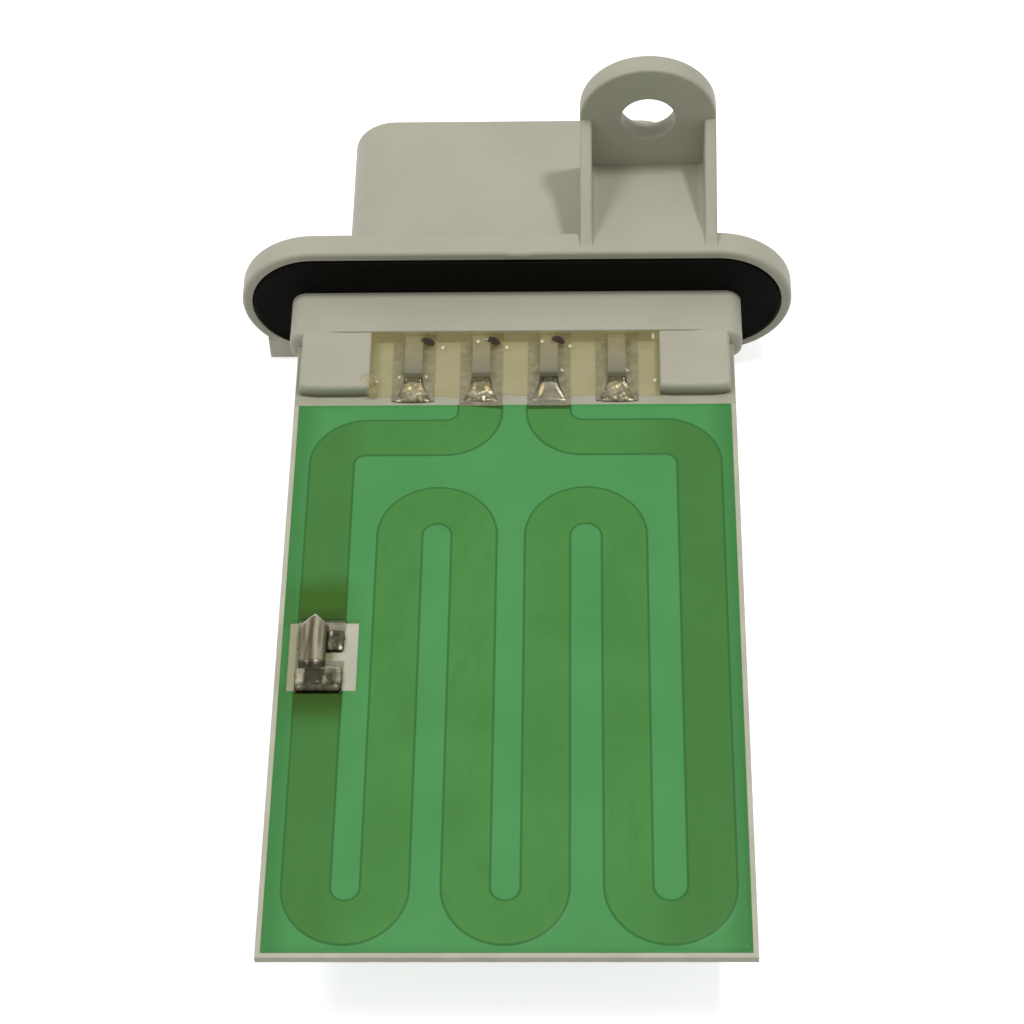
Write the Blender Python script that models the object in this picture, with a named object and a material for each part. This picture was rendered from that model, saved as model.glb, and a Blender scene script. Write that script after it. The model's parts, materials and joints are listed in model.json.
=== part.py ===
"""Blower motor resistor: a printed ceramic board held in a moulded connector housing with a rubber gasket.

The origin is the middle of the flange's sealing plane, on the board's mid-plane. +X runs across the
board, +Y from the board towards the connector, and +Z out of the board's component side.
"""
import math

import bmesh
import bpy

MM = 0.001

# Ceramic board
BOARD_WIDTH = 40.0 * MM
BOARD_REACH = 68.2 * MM            # from the sealing plane to the board's free end
BOARD_THICKNESS = 0.8 * MM
TENON_STEP = 0.6 * MM              # how much narrower each side is inside the neck
TENON_DEPTH = 1.0 * MM             # how far the board runs past the sealing plane
SHOULDER_GAP = 0.15 * MM

# Printed layers, drawn thicker than the real films so that they stay solids
FILM_GAP = 0.05 * MM
FILM_THICKNESS = 0.10 * MM
GLAZE_COVER = 0.12 * MM            # glaze over the track
GLAZE_STEP = 0.10 * MM             # how far the glaze stands up where it drapes over a track
GLAZE_DRAPE = 0.10 * MM            # width of that drape on each side of the track
GLAZE_MARGIN = 0.46 * MM           # bare ceramic at the board's edges
GLAZE_DROP = 1.1 * MM              # from the arms' ends to the glaze's upper edge
TRACK_WIDTH = 4.0 * MM
TRACK_END_MARGIN = 1.0 * MM        # from the bottom turns to the board's free end
CROSSING_DROP = 4.1 * MM           # from the glaze's upper edge to the middle of the crossing runs
ARCH_DROP = 5.6 * MM               # from there to the top of the upper turns
BEND_RADIUS = 3.0 * MM
LEFT_LEG_INSET = 3.8 * MM          # from the board's edge to the middle of the first leg
RIGHT_LEG_INSET = 3.5 * MM
LEG_SHARES = (0.0, 0.194, 0.393, 0.589, 0.794, 1.0)   # places between the first leg and the last
BACK_TRACK_WIDTH = 2.6 * MM
BACK_BEND_RADIUS = 1.9 * MM
BACK_LEG_INSET = 3.4 * MM

# Terminals, numbered from the left in the front view
TERMINAL_PITCH = 6.17 * MM
TONGUE_WIDTH = 1.6 * MM
TONGUE_THICKNESS = 0.4 * MM
TONGUE_FLAT = 1.9 * MM             # from the neck's end to where the tongue leans down to its pad
TONGUE_TIP_INSET = 1.5 * MM        # from the arms' ends back to the tongue's tip
TONGUE_DROP = 0.2 * MM
FORK_CROTCH_GAP = 0.3 * MM         # from the board's inner end to the fork's crotch
FORK_ROOT_LENGTH = 1.5 * MM
BLADE_WIDTH = 2.8 * MM
BLADE_THICKNESS = 0.8 * MM
BLADE_INSET = 5.5 * MM             # from the socket's rim back to the blade's tip
BLADE_POINT = 0.6 * MM
PAD_WIDTH = 3.8 * MM
PAD_TOP_GAP = 0.1 * MM             # from the neck's end to the pads
PAD_END_GAP = 0.2 * MM             # from the glaze to the two pads that no front track meets
JOINT_FLARE = 1.4                  # how late the solder widens towards the pad's end
JOINT_END_SHARE = 0.12             # height left at the joint's lower end
JOINT_SIDE_SHARE = 0.25            # height of the joint's sides

# Thermal fuse on the left leg
FUSE_MIDDLE = 39.65 * MM           # from the sealing plane
FUSE_PAD_SPAN = 6.9 * MM           # both pads and the space between them
UPPER_PAD_SHARE = 0.39             # each pad's length as a share of that span
LOWER_PAD_SHARE = 0.43
FUSE_WINDOW_LEFT = 0.73 * MM       # from the track's sides to the window in the glaze
FUSE_WINDOW_RIGHT = 1.17 * MM
CLIP_WIDTH_SHARE = 0.575           # of the track's width
CLIP_OFFSET_SHARE = -0.155         # the clip lies a little left of the leg's middle
CLIP_THICKNESS = 0.3 * MM
CLIP_CROWN = 0.35 * MM
CLIP_RISE = 0.75 * MM
CLIP_LEAN = 0.1 * MM               # how much higher the run ends than it starts
CLIP_FOOT_INSET = 0.5 * MM         # from the lower pad's end to the clip's foot
CLIP_RISER_SHARE = 0.66            # how far along the lower pad the riser ends
CLIP_RISER_RUN = 0.3 * MM
CLIP_NOSE_INSET = 0.35 * MM        # from the upper pad's end to the clip's nose
CLIP_NOSE_SHARE = 0.3              # of the clip's width
CLIP_NOSE_CROWN = 0.05 * MM
SOLDER_HEIGHT = 0.5 * MM
SOLDER_GAP = 0.10 * MM
SOLDER_INSET = 0.12 * MM           # from a fuse pad's edges to its solder
SOLDER_CORNER = 0.5 * MM
SOLDER_FILLET = 0.3 * MM
BLOB_HEIGHT = 0.7 * MM

# Housing
FLANGE_END = 4.75 * MM             # from the neck's side to the flange's end
FLANGE_HALF_DEPTH = 7.05 * MM
FLANGE_THICKNESS = 2.5 * MM
FLANGE_FILLET = 0.4 * MM
GASKET_INSET = 1.08 * MM
GASKET_PROUD = 0.3 * MM
RECESS_DEPTH = 1.2 * MM
GASKET_GAP = 0.12 * MM
GASKET_FILLET = 0.25 * MM
NECK_END = 4.9 * MM                # from the sealing plane to the neck's lower end
NECK_SIDE = 0.8 * MM               # how far the neck stands out past the board's edges
NECK_WALL = 0.45 * MM              # over the terminals' channels
NECK_TAPER = 0.55 * MM
NECK_CORNER = 1.5 * MM
NECK_CHAMFER = 0.15 * MM
BOARD_GAP = 0.15 * MM              # between the board and the housing's slot
ARM_SIDE = 0.5 * MM                # from the board's edge to an arm's outer side
ARM_LENGTH = 6.2 * MM              # past the neck's end
ARM_ROOT = 0.5 * MM                # how far an arm runs into the neck
ARM_TOP = 1.75 * MM
ARM_CORNER = 0.5 * MM
ARM_FILLET = 0.35 * MM
SOCKET_HALF_WIDTH = 15.65 * MM
SOCKET_HALF_DEPTH = 4.7 * MM
SOCKET_CORNER_SHARE = 0.85         # the corners' radius as a share of the half depth
SOCKET_WALL = 1.4 * MM
SOCKET_FLOOR_THICKNESS = 1.5 * MM
SOCKET_RIM = 19.0 * MM
RIM_FILLET = 0.3 * MM
CHANNEL_GAP = 0.2 * MM             # past the fork's root
SHOULDER_DROP = 0.3 * MM           # from the channels' ends to the blades' shoulders
CHANNEL_LEFT = 1.1 * MM            # from a terminal's middle to its channel's sides
CHANNEL_RIGHT = 2.0 * MM
TERMINAL_GAP = 0.25 * MM
TAB_MIDDLE = 12.24 * MM
TAB_RADIUS = 6.28 * MM
TAB_HOLE_RADIUS = 2.5 * MM
TAB_HOLE_HEIGHT = 13.1 * MM        # from the board's mid-plane to the hole's middle
TAB_BOTTOM = 10.8 * MM
TAB_THICKNESS = 2.0 * MM
TAB_FILLET = 0.2 * MM
RIB_THICKNESS = 1.1 * MM
RIB_FOOT = 0.35 * MM               # from the sealing plane to the ribs' lower ends
LUG_INSET = 1.95 * MM              # from the flange's end
LUG_WIDTH = 4.0 * MM
LUG_DROP = 0.6 * MM                # how far it stands out behind the flange
LATCH_WIDTH = 6.0 * MM
LATCH_HEIGHT = 1.2 * MM
LATCH_CATCH = 9.0 * MM
LATCH_LENGTH = 4.5 * MM

# Resin
RESIN_SIDE = 2.0 * MM              # from the outer pads to the arms
RESIN_LIP = 0.3 * MM               # past the arms' ends
RESIN_FILM = 0.15 * MM
RESIN_BEAD = 0.45 * MM
RESIN_BAND = 1.3 * MM              # the strip that joins the beads under the tongues
RESIN_GAP = 0.15 * MM
RESIN_CORNER = 0.3 * MM
RESIN_FILLET = 0.25 * MM

# Fineness of the round forms
CHORD_ERROR = 0.03 * MM            # how far a facet may lie inside its arc
FILLET_STEPS = 3
CROWN_STEPS = 8
JOINT_STEPS = 6
SMALLEST_CORNER = 0.05 * MM
SHARP_ANGLE = 35
OVERSHOOT = 1.0 * MM               # how far a cutter runs past what it cuts

# Places worked out from the sizes above
BOARD_FACE = BOARD_THICKNESS / 2
FILM_LOW = BOARD_FACE + FILM_GAP
FILM_HIGH = FILM_LOW + FILM_THICKNESS
SOLDER_LOW = FILM_HIGH + FILM_GAP
FREE_END = -BOARD_REACH
ARM_END = NECK_END + ARM_LENGTH
GLAZE_TOP = ARM_END + GLAZE_DROP
CROSSING = GLAZE_TOP + CROSSING_DROP
ARCH_TOP = CROSSING + ARCH_DROP
LEG_SPAN = BOARD_WIDTH - LEFT_LEG_INSET - RIGHT_LEG_INSET
LEG_PLACES = tuple(LEFT_LEG_INSET - BOARD_WIDTH / 2 + share * LEG_SPAN for share in LEG_SHARES)
TERMINAL_PLACES = tuple((number - 1.5) * TERMINAL_PITCH for number in range(4))
BACK_LEG_PLACE = BOARD_WIDTH / 2 - BACK_LEG_INSET
TONGUE_LOW = FILM_HIGH + SOLDER_GAP + TONGUE_DROP
TONGUE_HIGH = TONGUE_LOW + TONGUE_THICKNESS
CHANNEL_HEIGHT = TONGUE_HIGH + TERMINAL_GAP
FORK_CROTCH = TENON_DEPTH + FORK_CROTCH_GAP
FORK_ROOT = FORK_CROTCH + FORK_ROOT_LENGTH
CHANNEL_TOP = FORK_ROOT + CHANNEL_GAP
FUSE_TOP = -FUSE_MIDDLE + FUSE_PAD_SPAN / 2
FUSE_BOTTOM = -FUSE_MIDDLE - FUSE_PAD_SPAN / 2
FUSE_UPPER_PAD = UPPER_PAD_SHARE * FUSE_PAD_SPAN
FUSE_LOWER_PAD = LOWER_PAD_SHARE * FUSE_PAD_SPAN
CLIP_WIDTH = CLIP_WIDTH_SHARE * TRACK_WIDTH
CLIP_MIDDLE = LEG_PLACES[0] + CLIP_OFFSET_SHARE * TRACK_WIDTH
TENON_WIDTH = BOARD_WIDTH - 2 * TENON_STEP
NECK_HALF_WIDTH = BOARD_WIDTH / 2 + NECK_SIDE
NECK_HALF_DEPTH = CHANNEL_HEIGHT + NECK_WALL
FLANGE_HALF_LENGTH = NECK_HALF_WIDTH + FLANGE_END
ARM_INNER = TERMINAL_PLACES[3] + PAD_WIDTH / 2 + RESIN_SIDE
ARM_OUTER = BOARD_WIDTH / 2 - ARM_SIDE
SOCKET_CORNER = SOCKET_CORNER_SHARE * SOCKET_HALF_DEPTH


def clear_scene():
    for thing in list(bpy.data.objects):
        bpy.data.objects.remove(thing, do_unlink=True)


def make_material(name, colour, roughness, metallic=0.0):
    material = bpy.data.materials.new(name)
    material.use_nodes = True
    shader = material.node_tree.nodes["Principled BSDF"]
    shader.inputs["Base Color"].default_value = (*colour, 1.0)
    shader.inputs["Roughness"].default_value = roughness
    shader.inputs["Metallic"].default_value = metallic
    material.diffuse_color = (*colour, 1.0)
    return material


# Shapes

def arc_steps(radius, turn):
    """How many straight steps keep an arc of this radius and turn in degrees within the chord error."""
    step = 2 * math.degrees(math.acos(1 - CHORD_ERROR / radius))
    return max(2, math.ceil(abs(turn) / step))


def arc(centre, radius, start, end, steps):
    """Points on an arc about a 2D centre, from one angle in degrees to another, both ends included."""
    angles = [math.radians(start + (end - start) * i / steps) for i in range(steps + 1)]
    return [(centre[0] + radius * math.cos(a), centre[1] + radius * math.sin(a)) for a in angles]


def rectangle(left, right, low, high):
    return [(left, low), (right, low), (right, high), (left, high)]


def rounded_rectangle(half_width, half_height, radius, inset=0.0):
    """A rectangle about the origin with round corners, drawn in by the inset."""
    corner = max(radius - inset, SMALLEST_CORNER)
    across = half_width - inset - corner
    up = half_height - inset - corner
    steps = arc_steps(radius, 90)
    outline = []
    for start, side_x, side_y in ((0, 1, 1), (90, -1, 1), (180, -1, -1), (270, 1, -1)):
        outline += arc((side_x * across, side_y * up), corner, start, start + 90, steps)
    return outline


def stadium(half_length, half_depth, inset=0.0):
    """A slot-shaped outline: two half circles joined by straight sides, drawn in by the inset."""
    middle = half_length - half_depth
    radius = half_depth - inset
    steps = arc_steps(half_depth, 180)
    return arc((middle, 0), radius, -90, 90, steps) + arc((-middle, 0), radius, 90, 270, steps)


def placed(outline, height, axis):
    """The outline's two numbers go to the two other axes, in the order X, Y, Z."""
    if axis == "X":
        return [(height, a, b) for a, b in outline]
    if axis == "Y":
        return [(a, height, b) for a, b in outline]
    return [(a, b, height) for a, b in outline]


def loft(name, rings, material):
    """A closed body through rings of equally many points, with a flat face on its first and last ring."""
    work = bmesh.new()
    rows = [[work.verts.new(point) for point in ring] for ring in rings]
    for low, high in zip(rows, rows[1:]):
        for i in range(len(low)):
            j = (i + 1) % len(low)
            work.faces.new((low[i], low[j], high[j], high[i]))
    work.faces.new(list(reversed(rows[0])))
    work.faces.new(rows[-1])
    bmesh.ops.recalc_face_normals(work, faces=work.faces)
    mesh = bpy.data.meshes.new(name)
    work.to_mesh(mesh)
    work.free()
    mesh.shade_smooth()
    mesh.set_sharp_from_angle(angle=math.radians(SHARP_ANGLE))
    mesh.materials.append(material)
    thing = bpy.data.objects.new(name, mesh)
    bpy.context.scene.collection.objects.link(thing)
    return thing


def prism(name, outline, low, high, axis, material):
    return loft(name, [placed(outline, low, axis), placed(outline, high, axis)], material)


def rounded_slab(name, outline, low, high, axis, material, low_fillet=0.0, high_fillet=0.0):
    """A slab with rounded end edges. outline(inset) gives its outline drawn in by the inset."""
    rings = []
    for i in range(FILLET_STEPS + 1 if low_fillet else 1):
        turn = math.pi / 2 * (i / FILLET_STEPS if low_fillet else 1)
        inset = low_fillet * (1 - math.sin(turn))
        height = low + low_fillet * (1 - math.cos(turn))
        rings.append(placed(outline(inset), height, axis))
    for i in range(FILLET_STEPS + 1 if high_fillet else 1):
        turn = math.pi / 2 * (i / FILLET_STEPS if high_fillet else 0)
        inset = high_fillet * (1 - math.cos(turn))
        height = high - high_fillet * (1 - math.sin(turn))
        rings.append(placed(outline(inset), height, axis))
    return loft(name, rings, material)


def combine(target, other, operation):
    """Joins or cuts with an exact Boolean. The other body stays as a hidden guide."""
    modifier = target.modifiers.new(other.name, "BOOLEAN")
    modifier.operation = operation
    modifier.solver = "EXACT"
    modifier.object = other
    other.hide_render = True
    other.display_type = "WIRE"


def join(target, other):
    combine(target, other, "UNION")


def cut(target, other):
    combine(target, other, "DIFFERENCE")


# Printed tracks

def stroke(points, width):
    """Left and right edge points of a line of constant width that follows the points."""
    left, right = [], []
    for i, (x, y) in enumerate(points):
        before = points[max(i - 1, 0)]
        after = points[min(i + 1, len(points) - 1)]
        run = (after[0] - before[0], after[1] - before[1])
        length = math.hypot(*run)
        side = (-run[1] / length * width / 2, run[0] / length * width / 2)
        left.append((x + side[0], y + side[1]))
        right.append((x - side[0], y - side[1]))
    return left, right


def ribbon(name, points, width, low, high, material):
    """A flat strip along the points, as one closed body."""
    left, right = stroke(points, width)
    sections = [[(*a, low), (*b, low), (*b, high), (*a, high)] for a, b in zip(left, right)]
    return loft(name, sections, material)


def bottom_turn(left_x, right_x, track_width):
    radius = (right_x - left_x) / 2
    outer = radius + track_width / 2
    middle = FREE_END + TRACK_END_MARGIN + outer
    return arc((left_x + radius, middle), radius, 180, 360, arc_steps(outer, 180))


def top_turn(left_x, right_x, track_width):
    radius = (right_x - left_x) / 2
    outer = radius + track_width / 2
    return arc((left_x + radius, -ARCH_TOP - outer), radius, 180, 0, arc_steps(outer, 180))


def outlet(pad_x, leg_x, pad_end, radius, track_width):
    """From a pad's lower end round a bend, along the crossing run, and round a bend into a leg."""
    side = 1 if leg_x > pad_x else -1
    steps = arc_steps(radius + track_width / 2, 90)
    first_middle = (pad_x + side * radius, -CROSSING + radius)
    second_middle = (leg_x - side * radius, -CROSSING - radius)
    first = arc(first_middle, radius, 90 + side * 90, 90 + side * 180, steps)
    second = arc(second_middle, radius, 90, 90 - side * 90, steps)
    return [(pad_x, pad_end)] + first + second


def fused_path(start_y, end_y):
    """From the second pad to the left leg, down to the fuse's upper pad."""
    route = outlet(TERMINAL_PLACES[1], LEG_PLACES[0], start_y, BEND_RADIUS, TRACK_WIDTH)
    return route + [(LEG_PLACES[0], end_y)]


def main_path(start_y, end_y):
    """From the fuse's lower pad through three bottom turns and two top turns to the third pad."""
    a, b, c, d, e, f = LEG_PLACES
    route = [(a, start_y)] + bottom_turn(a, b, TRACK_WIDTH) + top_turn(b, c, TRACK_WIDTH)
    route += bottom_turn(c, d, TRACK_WIDTH) + top_turn(d, e, TRACK_WIDTH)
    route += bottom_turn(e, f, TRACK_WIDTH)
    last = outlet(TERMINAL_PLACES[2], f, end_y, BEND_RADIUS, TRACK_WIDTH)
    return route + list(reversed(last))


def back_path(side, end_y):
    """From an outer pad out to the edge, down and up four even legs, and straight into the inner pad."""
    outer_pad = TERMINAL_PLACES[0] if side < 0 else TERMINAL_PLACES[3]
    inner_pad = TERMINAL_PLACES[1] if side < 0 else TERMINAL_PLACES[2]
    first = side * BACK_LEG_PLACE
    legs = [first + (inner_pad - first) * i / 3 for i in range(4)]
    route = outlet(outer_pad, first, end_y, BACK_BEND_RADIUS, BACK_TRACK_WIDTH)
    for turn, a, b in ((bottom_turn, 0, 1), (top_turn, 1, 2), (bottom_turn, 2, 3)):
        low, high = sorted((legs[a], legs[b]))
        points = turn(low, high, BACK_TRACK_WIDTH)
        route += points if side < 0 else list(reversed(points))
    return route + [(inner_pad, end_y)]


def flipped(level_low, level_high, side):
    """Heights on the front face, or the same on the back face when the side is negative."""
    return tuple(sorted((side * level_low, side * level_high)))


def make_overglaze(name, tracks, track_width, side, material, window=None):
    """A glaze sheet that drapes over the tracks: it stands up over them and is hollow under them."""
    sheet_high = FILM_HIGH + FILM_GAP + GLAZE_COVER - GLAZE_STEP
    drape_high = sheet_high + GLAZE_STEP
    half_width = BOARD_WIDTH / 2 - GLAZE_MARGIN
    outline = rectangle(-half_width, half_width, FREE_END + GLAZE_MARGIN, -GLAZE_TOP)
    glaze = prism(name, outline, *flipped(FILM_LOW, sheet_high, side), "Z", material)
    for i, (drape, hollow) in enumerate(tracks):
        width = track_width + 2 * GLAZE_DRAPE
        levels = flipped((FILM_LOW + sheet_high) / 2, drape_high, side)
        join(glaze, ribbon(f"{name}_drape_guide_{i}", drape, width, *levels, material))
    for i, (drape, hollow) in enumerate(tracks):
        width = track_width + 2 * FILM_GAP
        levels = flipped(FILM_LOW - OVERSHOOT, FILM_HIGH + FILM_GAP, side)
        cut(glaze, ribbon(f"{name}_track_cutter_{i}", hollow, width, *levels, material))
    if window:
        levels = flipped(0.0, drape_high + OVERSHOOT, side)
        cut(glaze, prism(f"{name}_window_cutter", window, *levels, "Z", material))
    return glaze


def make_front_print(track_material, pad_material, glaze_material):
    joint_y = -CROSSING + BEND_RADIUS + FILM_GAP
    ribbon("fused_resistor_track", fused_path(joint_y, FUSE_TOP + FILM_GAP), TRACK_WIDTH,
           FILM_LOW, FILM_HIGH, track_material)
    ribbon("front_resistor_track", main_path(FUSE_BOTTOM - FILM_GAP, joint_y), TRACK_WIDTH,
           FILM_LOW, FILM_HIGH, track_material)
    free, joined = -GLAZE_TOP + PAD_END_GAP, joint_y + FILM_GAP
    pad_top = -NECK_END - PAD_TOP_GAP
    for number, (x, end) in enumerate(zip(TERMINAL_PLACES, (free, joined, joined, free)), 1):
        outline = rectangle(x - PAD_WIDTH / 2, x + PAD_WIDTH / 2, end, pad_top)
        prism(f"front_conductor_pad_{number}", outline, FILM_LOW, FILM_HIGH, "Z", pad_material)
    left, right = LEG_PLACES[0] - TRACK_WIDTH / 2, LEG_PLACES[0] + TRACK_WIDTH / 2
    upper = rectangle(left, right, FUSE_TOP - FUSE_UPPER_PAD, FUSE_TOP)
    lower = rectangle(left, right, FUSE_BOTTOM, FUSE_BOTTOM + FUSE_LOWER_PAD)
    prism("fuse_pad_upper", upper, FILM_LOW, FILM_HIGH, "Z", pad_material)
    prism("fuse_pad_lower", lower, FILM_LOW, FILM_HIGH, "Z", pad_material)
    window = rectangle(left - FUSE_WINDOW_LEFT, right + FUSE_WINDOW_RIGHT, FUSE_BOTTOM, FUSE_TOP)
    edge, past = -GLAZE_TOP - GLAZE_DRAPE, -GLAZE_TOP + OVERSHOOT
    tracks = ((fused_path(edge, FUSE_TOP - OVERSHOOT), fused_path(past, FUSE_TOP - OVERSHOOT)),
              (main_path(FUSE_BOTTOM + OVERSHOOT, edge), main_path(FUSE_BOTTOM + OVERSHOOT, past)))
    make_overglaze("front_overglaze", tracks, TRACK_WIDTH, 1, glaze_material, window)


def make_back_print(track_material, pad_material, glaze_material):
    joint_y = -CROSSING + BACK_BEND_RADIUS + FILM_GAP
    low, high = flipped(FILM_LOW, FILM_HIGH, -1)
    edge, past = -GLAZE_TOP - GLAZE_DRAPE, -GLAZE_TOP + OVERSHOOT
    tracks = []
    for label, side in (("left", -1), ("right", 1)):
        ribbon(f"back_resistor_track_{label}", back_path(side, joint_y), BACK_TRACK_WIDTH,
               low, high, track_material)
        tracks.append((back_path(side, edge), back_path(side, past)))
    for number, x in enumerate(TERMINAL_PLACES, 1):
        half = BACK_TRACK_WIDTH / 2
        outline = rectangle(x - half, x + half, joint_y + FILM_GAP, -NECK_END - PAD_TOP_GAP)
        prism(f"back_conductor_pad_{number}", outline, low, high, "Z", pad_material)
    make_overglaze("back_overglaze", tracks, BACK_TRACK_WIDTH, -1, glaze_material)


def make_board(material):
    """The ceramic plate, with shoulders that meet the neck's end and a tenon inside it."""
    half, tenon = BOARD_WIDTH / 2, TENON_WIDTH / 2
    shoulder = -NECK_END - SHOULDER_GAP
    outline = [(-half, FREE_END), (half, FREE_END), (half, shoulder), (tenon, shoulder),
               (tenon, TENON_DEPTH), (-tenon, TENON_DEPTH), (-tenon, shoulder), (-half, shoulder)]
    prism("ceramic_substrate", outline, -BOARD_FACE, BOARD_FACE, "Z", material)


# Terminals and solder

def make_terminal(number, x, material):
    """A blade for the connector, and a fork whose two tongues lie over the pads on both faces."""
    bend, tip = -NECK_END - TONGUE_FLAT, -ARM_END + TONGUE_TIP_INSET
    tongue = [(FORK_ROOT, TONGUE_HIGH), (bend, TONGUE_HIGH), (tip, TONGUE_HIGH - TONGUE_DROP),
              (tip, TONGUE_LOW - TONGUE_DROP), (bend, TONGUE_LOW), (FORK_CROTCH, TONGUE_LOW)]
    profile = tongue + [(y, -z) for y, z in reversed(tongue)]
    half = TONGUE_WIDTH / 2
    terminal = prism(f"terminal_{number}", profile, x - half, x + half, "X", material)
    side = BLADE_WIDTH / 2
    shoulder, blade_tip = CHANNEL_TOP + SHOULDER_DROP, SOCKET_RIM - BLADE_INSET
    edge = [(half, (FORK_ROOT + FORK_CROTCH) / 2), (half, shoulder), (side, shoulder),
            (side, blade_tip - BLADE_POINT), (side - BLADE_POINT, blade_tip)]
    outline = [(x + a, y) for a, y in edge] + [(x - a, y) for a, y in reversed(edge)]
    blade = prism(f"terminal_{number}_blade_guide", outline, -BLADE_THICKNESS / 2, BLADE_THICKNESS / 2,
                  "Z", material)
    join(terminal, blade)


def make_solder_joint(name, x, side, half_end, material):
    """A fillet that flares from the tongue's tip down to the pad's lower end, hollow in profile."""
    start = -ARM_END + TONGUE_TIP_INSET - SOLDER_GAP
    end = -GLAZE_TOP + PAD_END_GAP + FILM_GAP
    half_start = TONGUE_WIDTH / 2
    angles = [math.pi * j / CROWN_STEPS for j in range(CROWN_STEPS + 1)]
    sections = []
    for i in range(JOINT_STEPS + 1):
        t = i / JOINT_STEPS
        half = half_start + (half_end - half_start) * t ** JOINT_FLARE
        height = SOLDER_HEIGHT * (JOINT_END_SHARE + (1 - JOINT_END_SHARE) * (1 - t) ** 2)
        rises = [JOINT_SIDE_SHARE + (1 - JOINT_SIDE_SHARE) * math.sin(a) for a in angles]
        top = [(x + half * math.cos(a), side * (SOLDER_LOW + height * rise))
               for a, rise in zip(angles, rises)]
        base = [(x - half, side * SOLDER_LOW), (x + half, side * SOLDER_LOW)]
        sections.append(placed(top + base, start + (end - start) * t, "Y"))
    loft(name, sections, material)


def fuse_clip_stations():
    """Place, height, half width and crown of the clip's strip: a flat foot, a riser, a run and a nose."""
    foot_low = SOLDER_LOW + SOLDER_GAP
    run_low = foot_low + CLIP_RISE
    nose_y = FUSE_TOP - CLIP_NOSE_INSET
    riser_y = FUSE_BOTTOM + FUSE_LOWER_PAD * CLIP_RISER_SHARE
    half = CLIP_WIDTH / 2
    return ((FUSE_BOTTOM + CLIP_FOOT_INSET, foot_low, half, 0.0),
            (riser_y - CLIP_RISER_RUN, foot_low, half, 0.0),
            (riser_y, run_low, half, CLIP_CROWN),
            (nose_y - half, run_low + CLIP_LEAN, half, CLIP_CROWN),
            (nose_y, foot_low, half * CLIP_NOSE_SHARE, CLIP_NOSE_CROWN))


def make_fuse_clip(material):
    """A spring strip with a crowned back, narrowed to a nose that leans down to the upper pad."""
    across = [-1 + 2 * j / CROWN_STEPS for j in range(CROWN_STEPS + 1)]
    sections = []
    for y, low, half, crown in fuse_clip_stations():
        base = [(CLIP_MIDDLE + half * a, low + crown * (1 - a * a)) for a in across]
        top = [(x, z + CLIP_THICKNESS) for x, z in base]
        sections.append(placed(top + list(reversed(base)), y, "Y"))
    loft("fuse_clip", sections, material)


def solder_slab(name, left, right, low_y, high_y, top, fillet, material):
    """A round-cornered body of solder on a fuse pad."""
    middle = ((left + right) / 2, (low_y + high_y) / 2)

    def outline(inset):
        shape = rounded_rectangle((right - left) / 2, (high_y - low_y) / 2, SOLDER_CORNER, inset)
        return [(middle[0] + a, middle[1] + b) for a, b in shape]

    return rounded_slab(name, outline, SOLDER_LOW, top, "Z", material, high_fillet=fillet)


def make_fuse_solder(material):
    """The lower block holds the clip's foot in a pocket. The upper blob stands beside the clip."""
    left, right = LEG_PLACES[0] - TRACK_WIDTH / 2, LEG_PLACES[0] + TRACK_WIDTH / 2
    clip_right = CLIP_MIDDLE + CLIP_WIDTH / 2 + SOLDER_GAP
    top = SOLDER_LOW + SOLDER_GAP + CLIP_THICKNESS
    lower_high = FUSE_BOTTOM + FUSE_LOWER_PAD - SOLDER_INSET
    lower = solder_slab("fuse_solder_lower", left + SOLDER_INSET, right - SOLDER_INSET,
                        FUSE_BOTTOM + SOLDER_INSET, lower_high, top, SOLDER_FILLET, material)
    pocket = rectangle(left - OVERSHOOT, clip_right, FUSE_BOTTOM + CLIP_FOOT_INSET - SOLDER_GAP,
                       lower_high + OVERSHOOT)
    cut(lower, prism("fuse_solder_pocket_cutter", pocket, SOLDER_LOW + SOLDER_GAP / 2, top + OVERSHOOT,
                     "Z", material))
    solder_slab("fuse_solder_upper", clip_right, right - SOLDER_INSET,
                FUSE_TOP - FUSE_UPPER_PAD + SOLDER_INSET, FUSE_TOP - SOLDER_INSET,
                SOLDER_LOW + BLOB_HEIGHT, SOLDER_FILLET, material)


def make_resin(material):
    """Clear resin between the pads: beads beside the pads, joined by a film under the tongues."""
    side = ARM_INNER - RESIN_GAP
    top, end = -NECK_END - RESIN_GAP, -ARM_END - RESIN_LIP
    band = rectangle(-side, side, top - RESIN_BAND, top)
    resin = prism("sealing_resin", band, SOLDER_LOW, SOLDER_LOW + RESIN_FILM, "Z", material)
    pad_edge = PAD_WIDTH / 2 + RESIN_GAP
    edges = [-side]
    for x in TERMINAL_PLACES:
        edges += [x - pad_edge, x + pad_edge]
    edges.append(side)
    for number, (left, right) in enumerate(zip(edges[::2], edges[1::2])):

        def bead_outline(inset, x=(left + right) / 2, half_x=(right - left) / 2):
            outline = rounded_rectangle(half_x, (top - end) / 2, RESIN_CORNER, inset)
            return [(x + a, (top + end) / 2 + b) for a, b in outline]

        bead = rounded_slab(f"resin_bead_guide_{number}", bead_outline, FILM_LOW,
                            FILM_LOW + RESIN_BEAD, "Z", material, high_fillet=RESIN_FILLET)
        join(resin, bead)


# Housing

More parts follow.
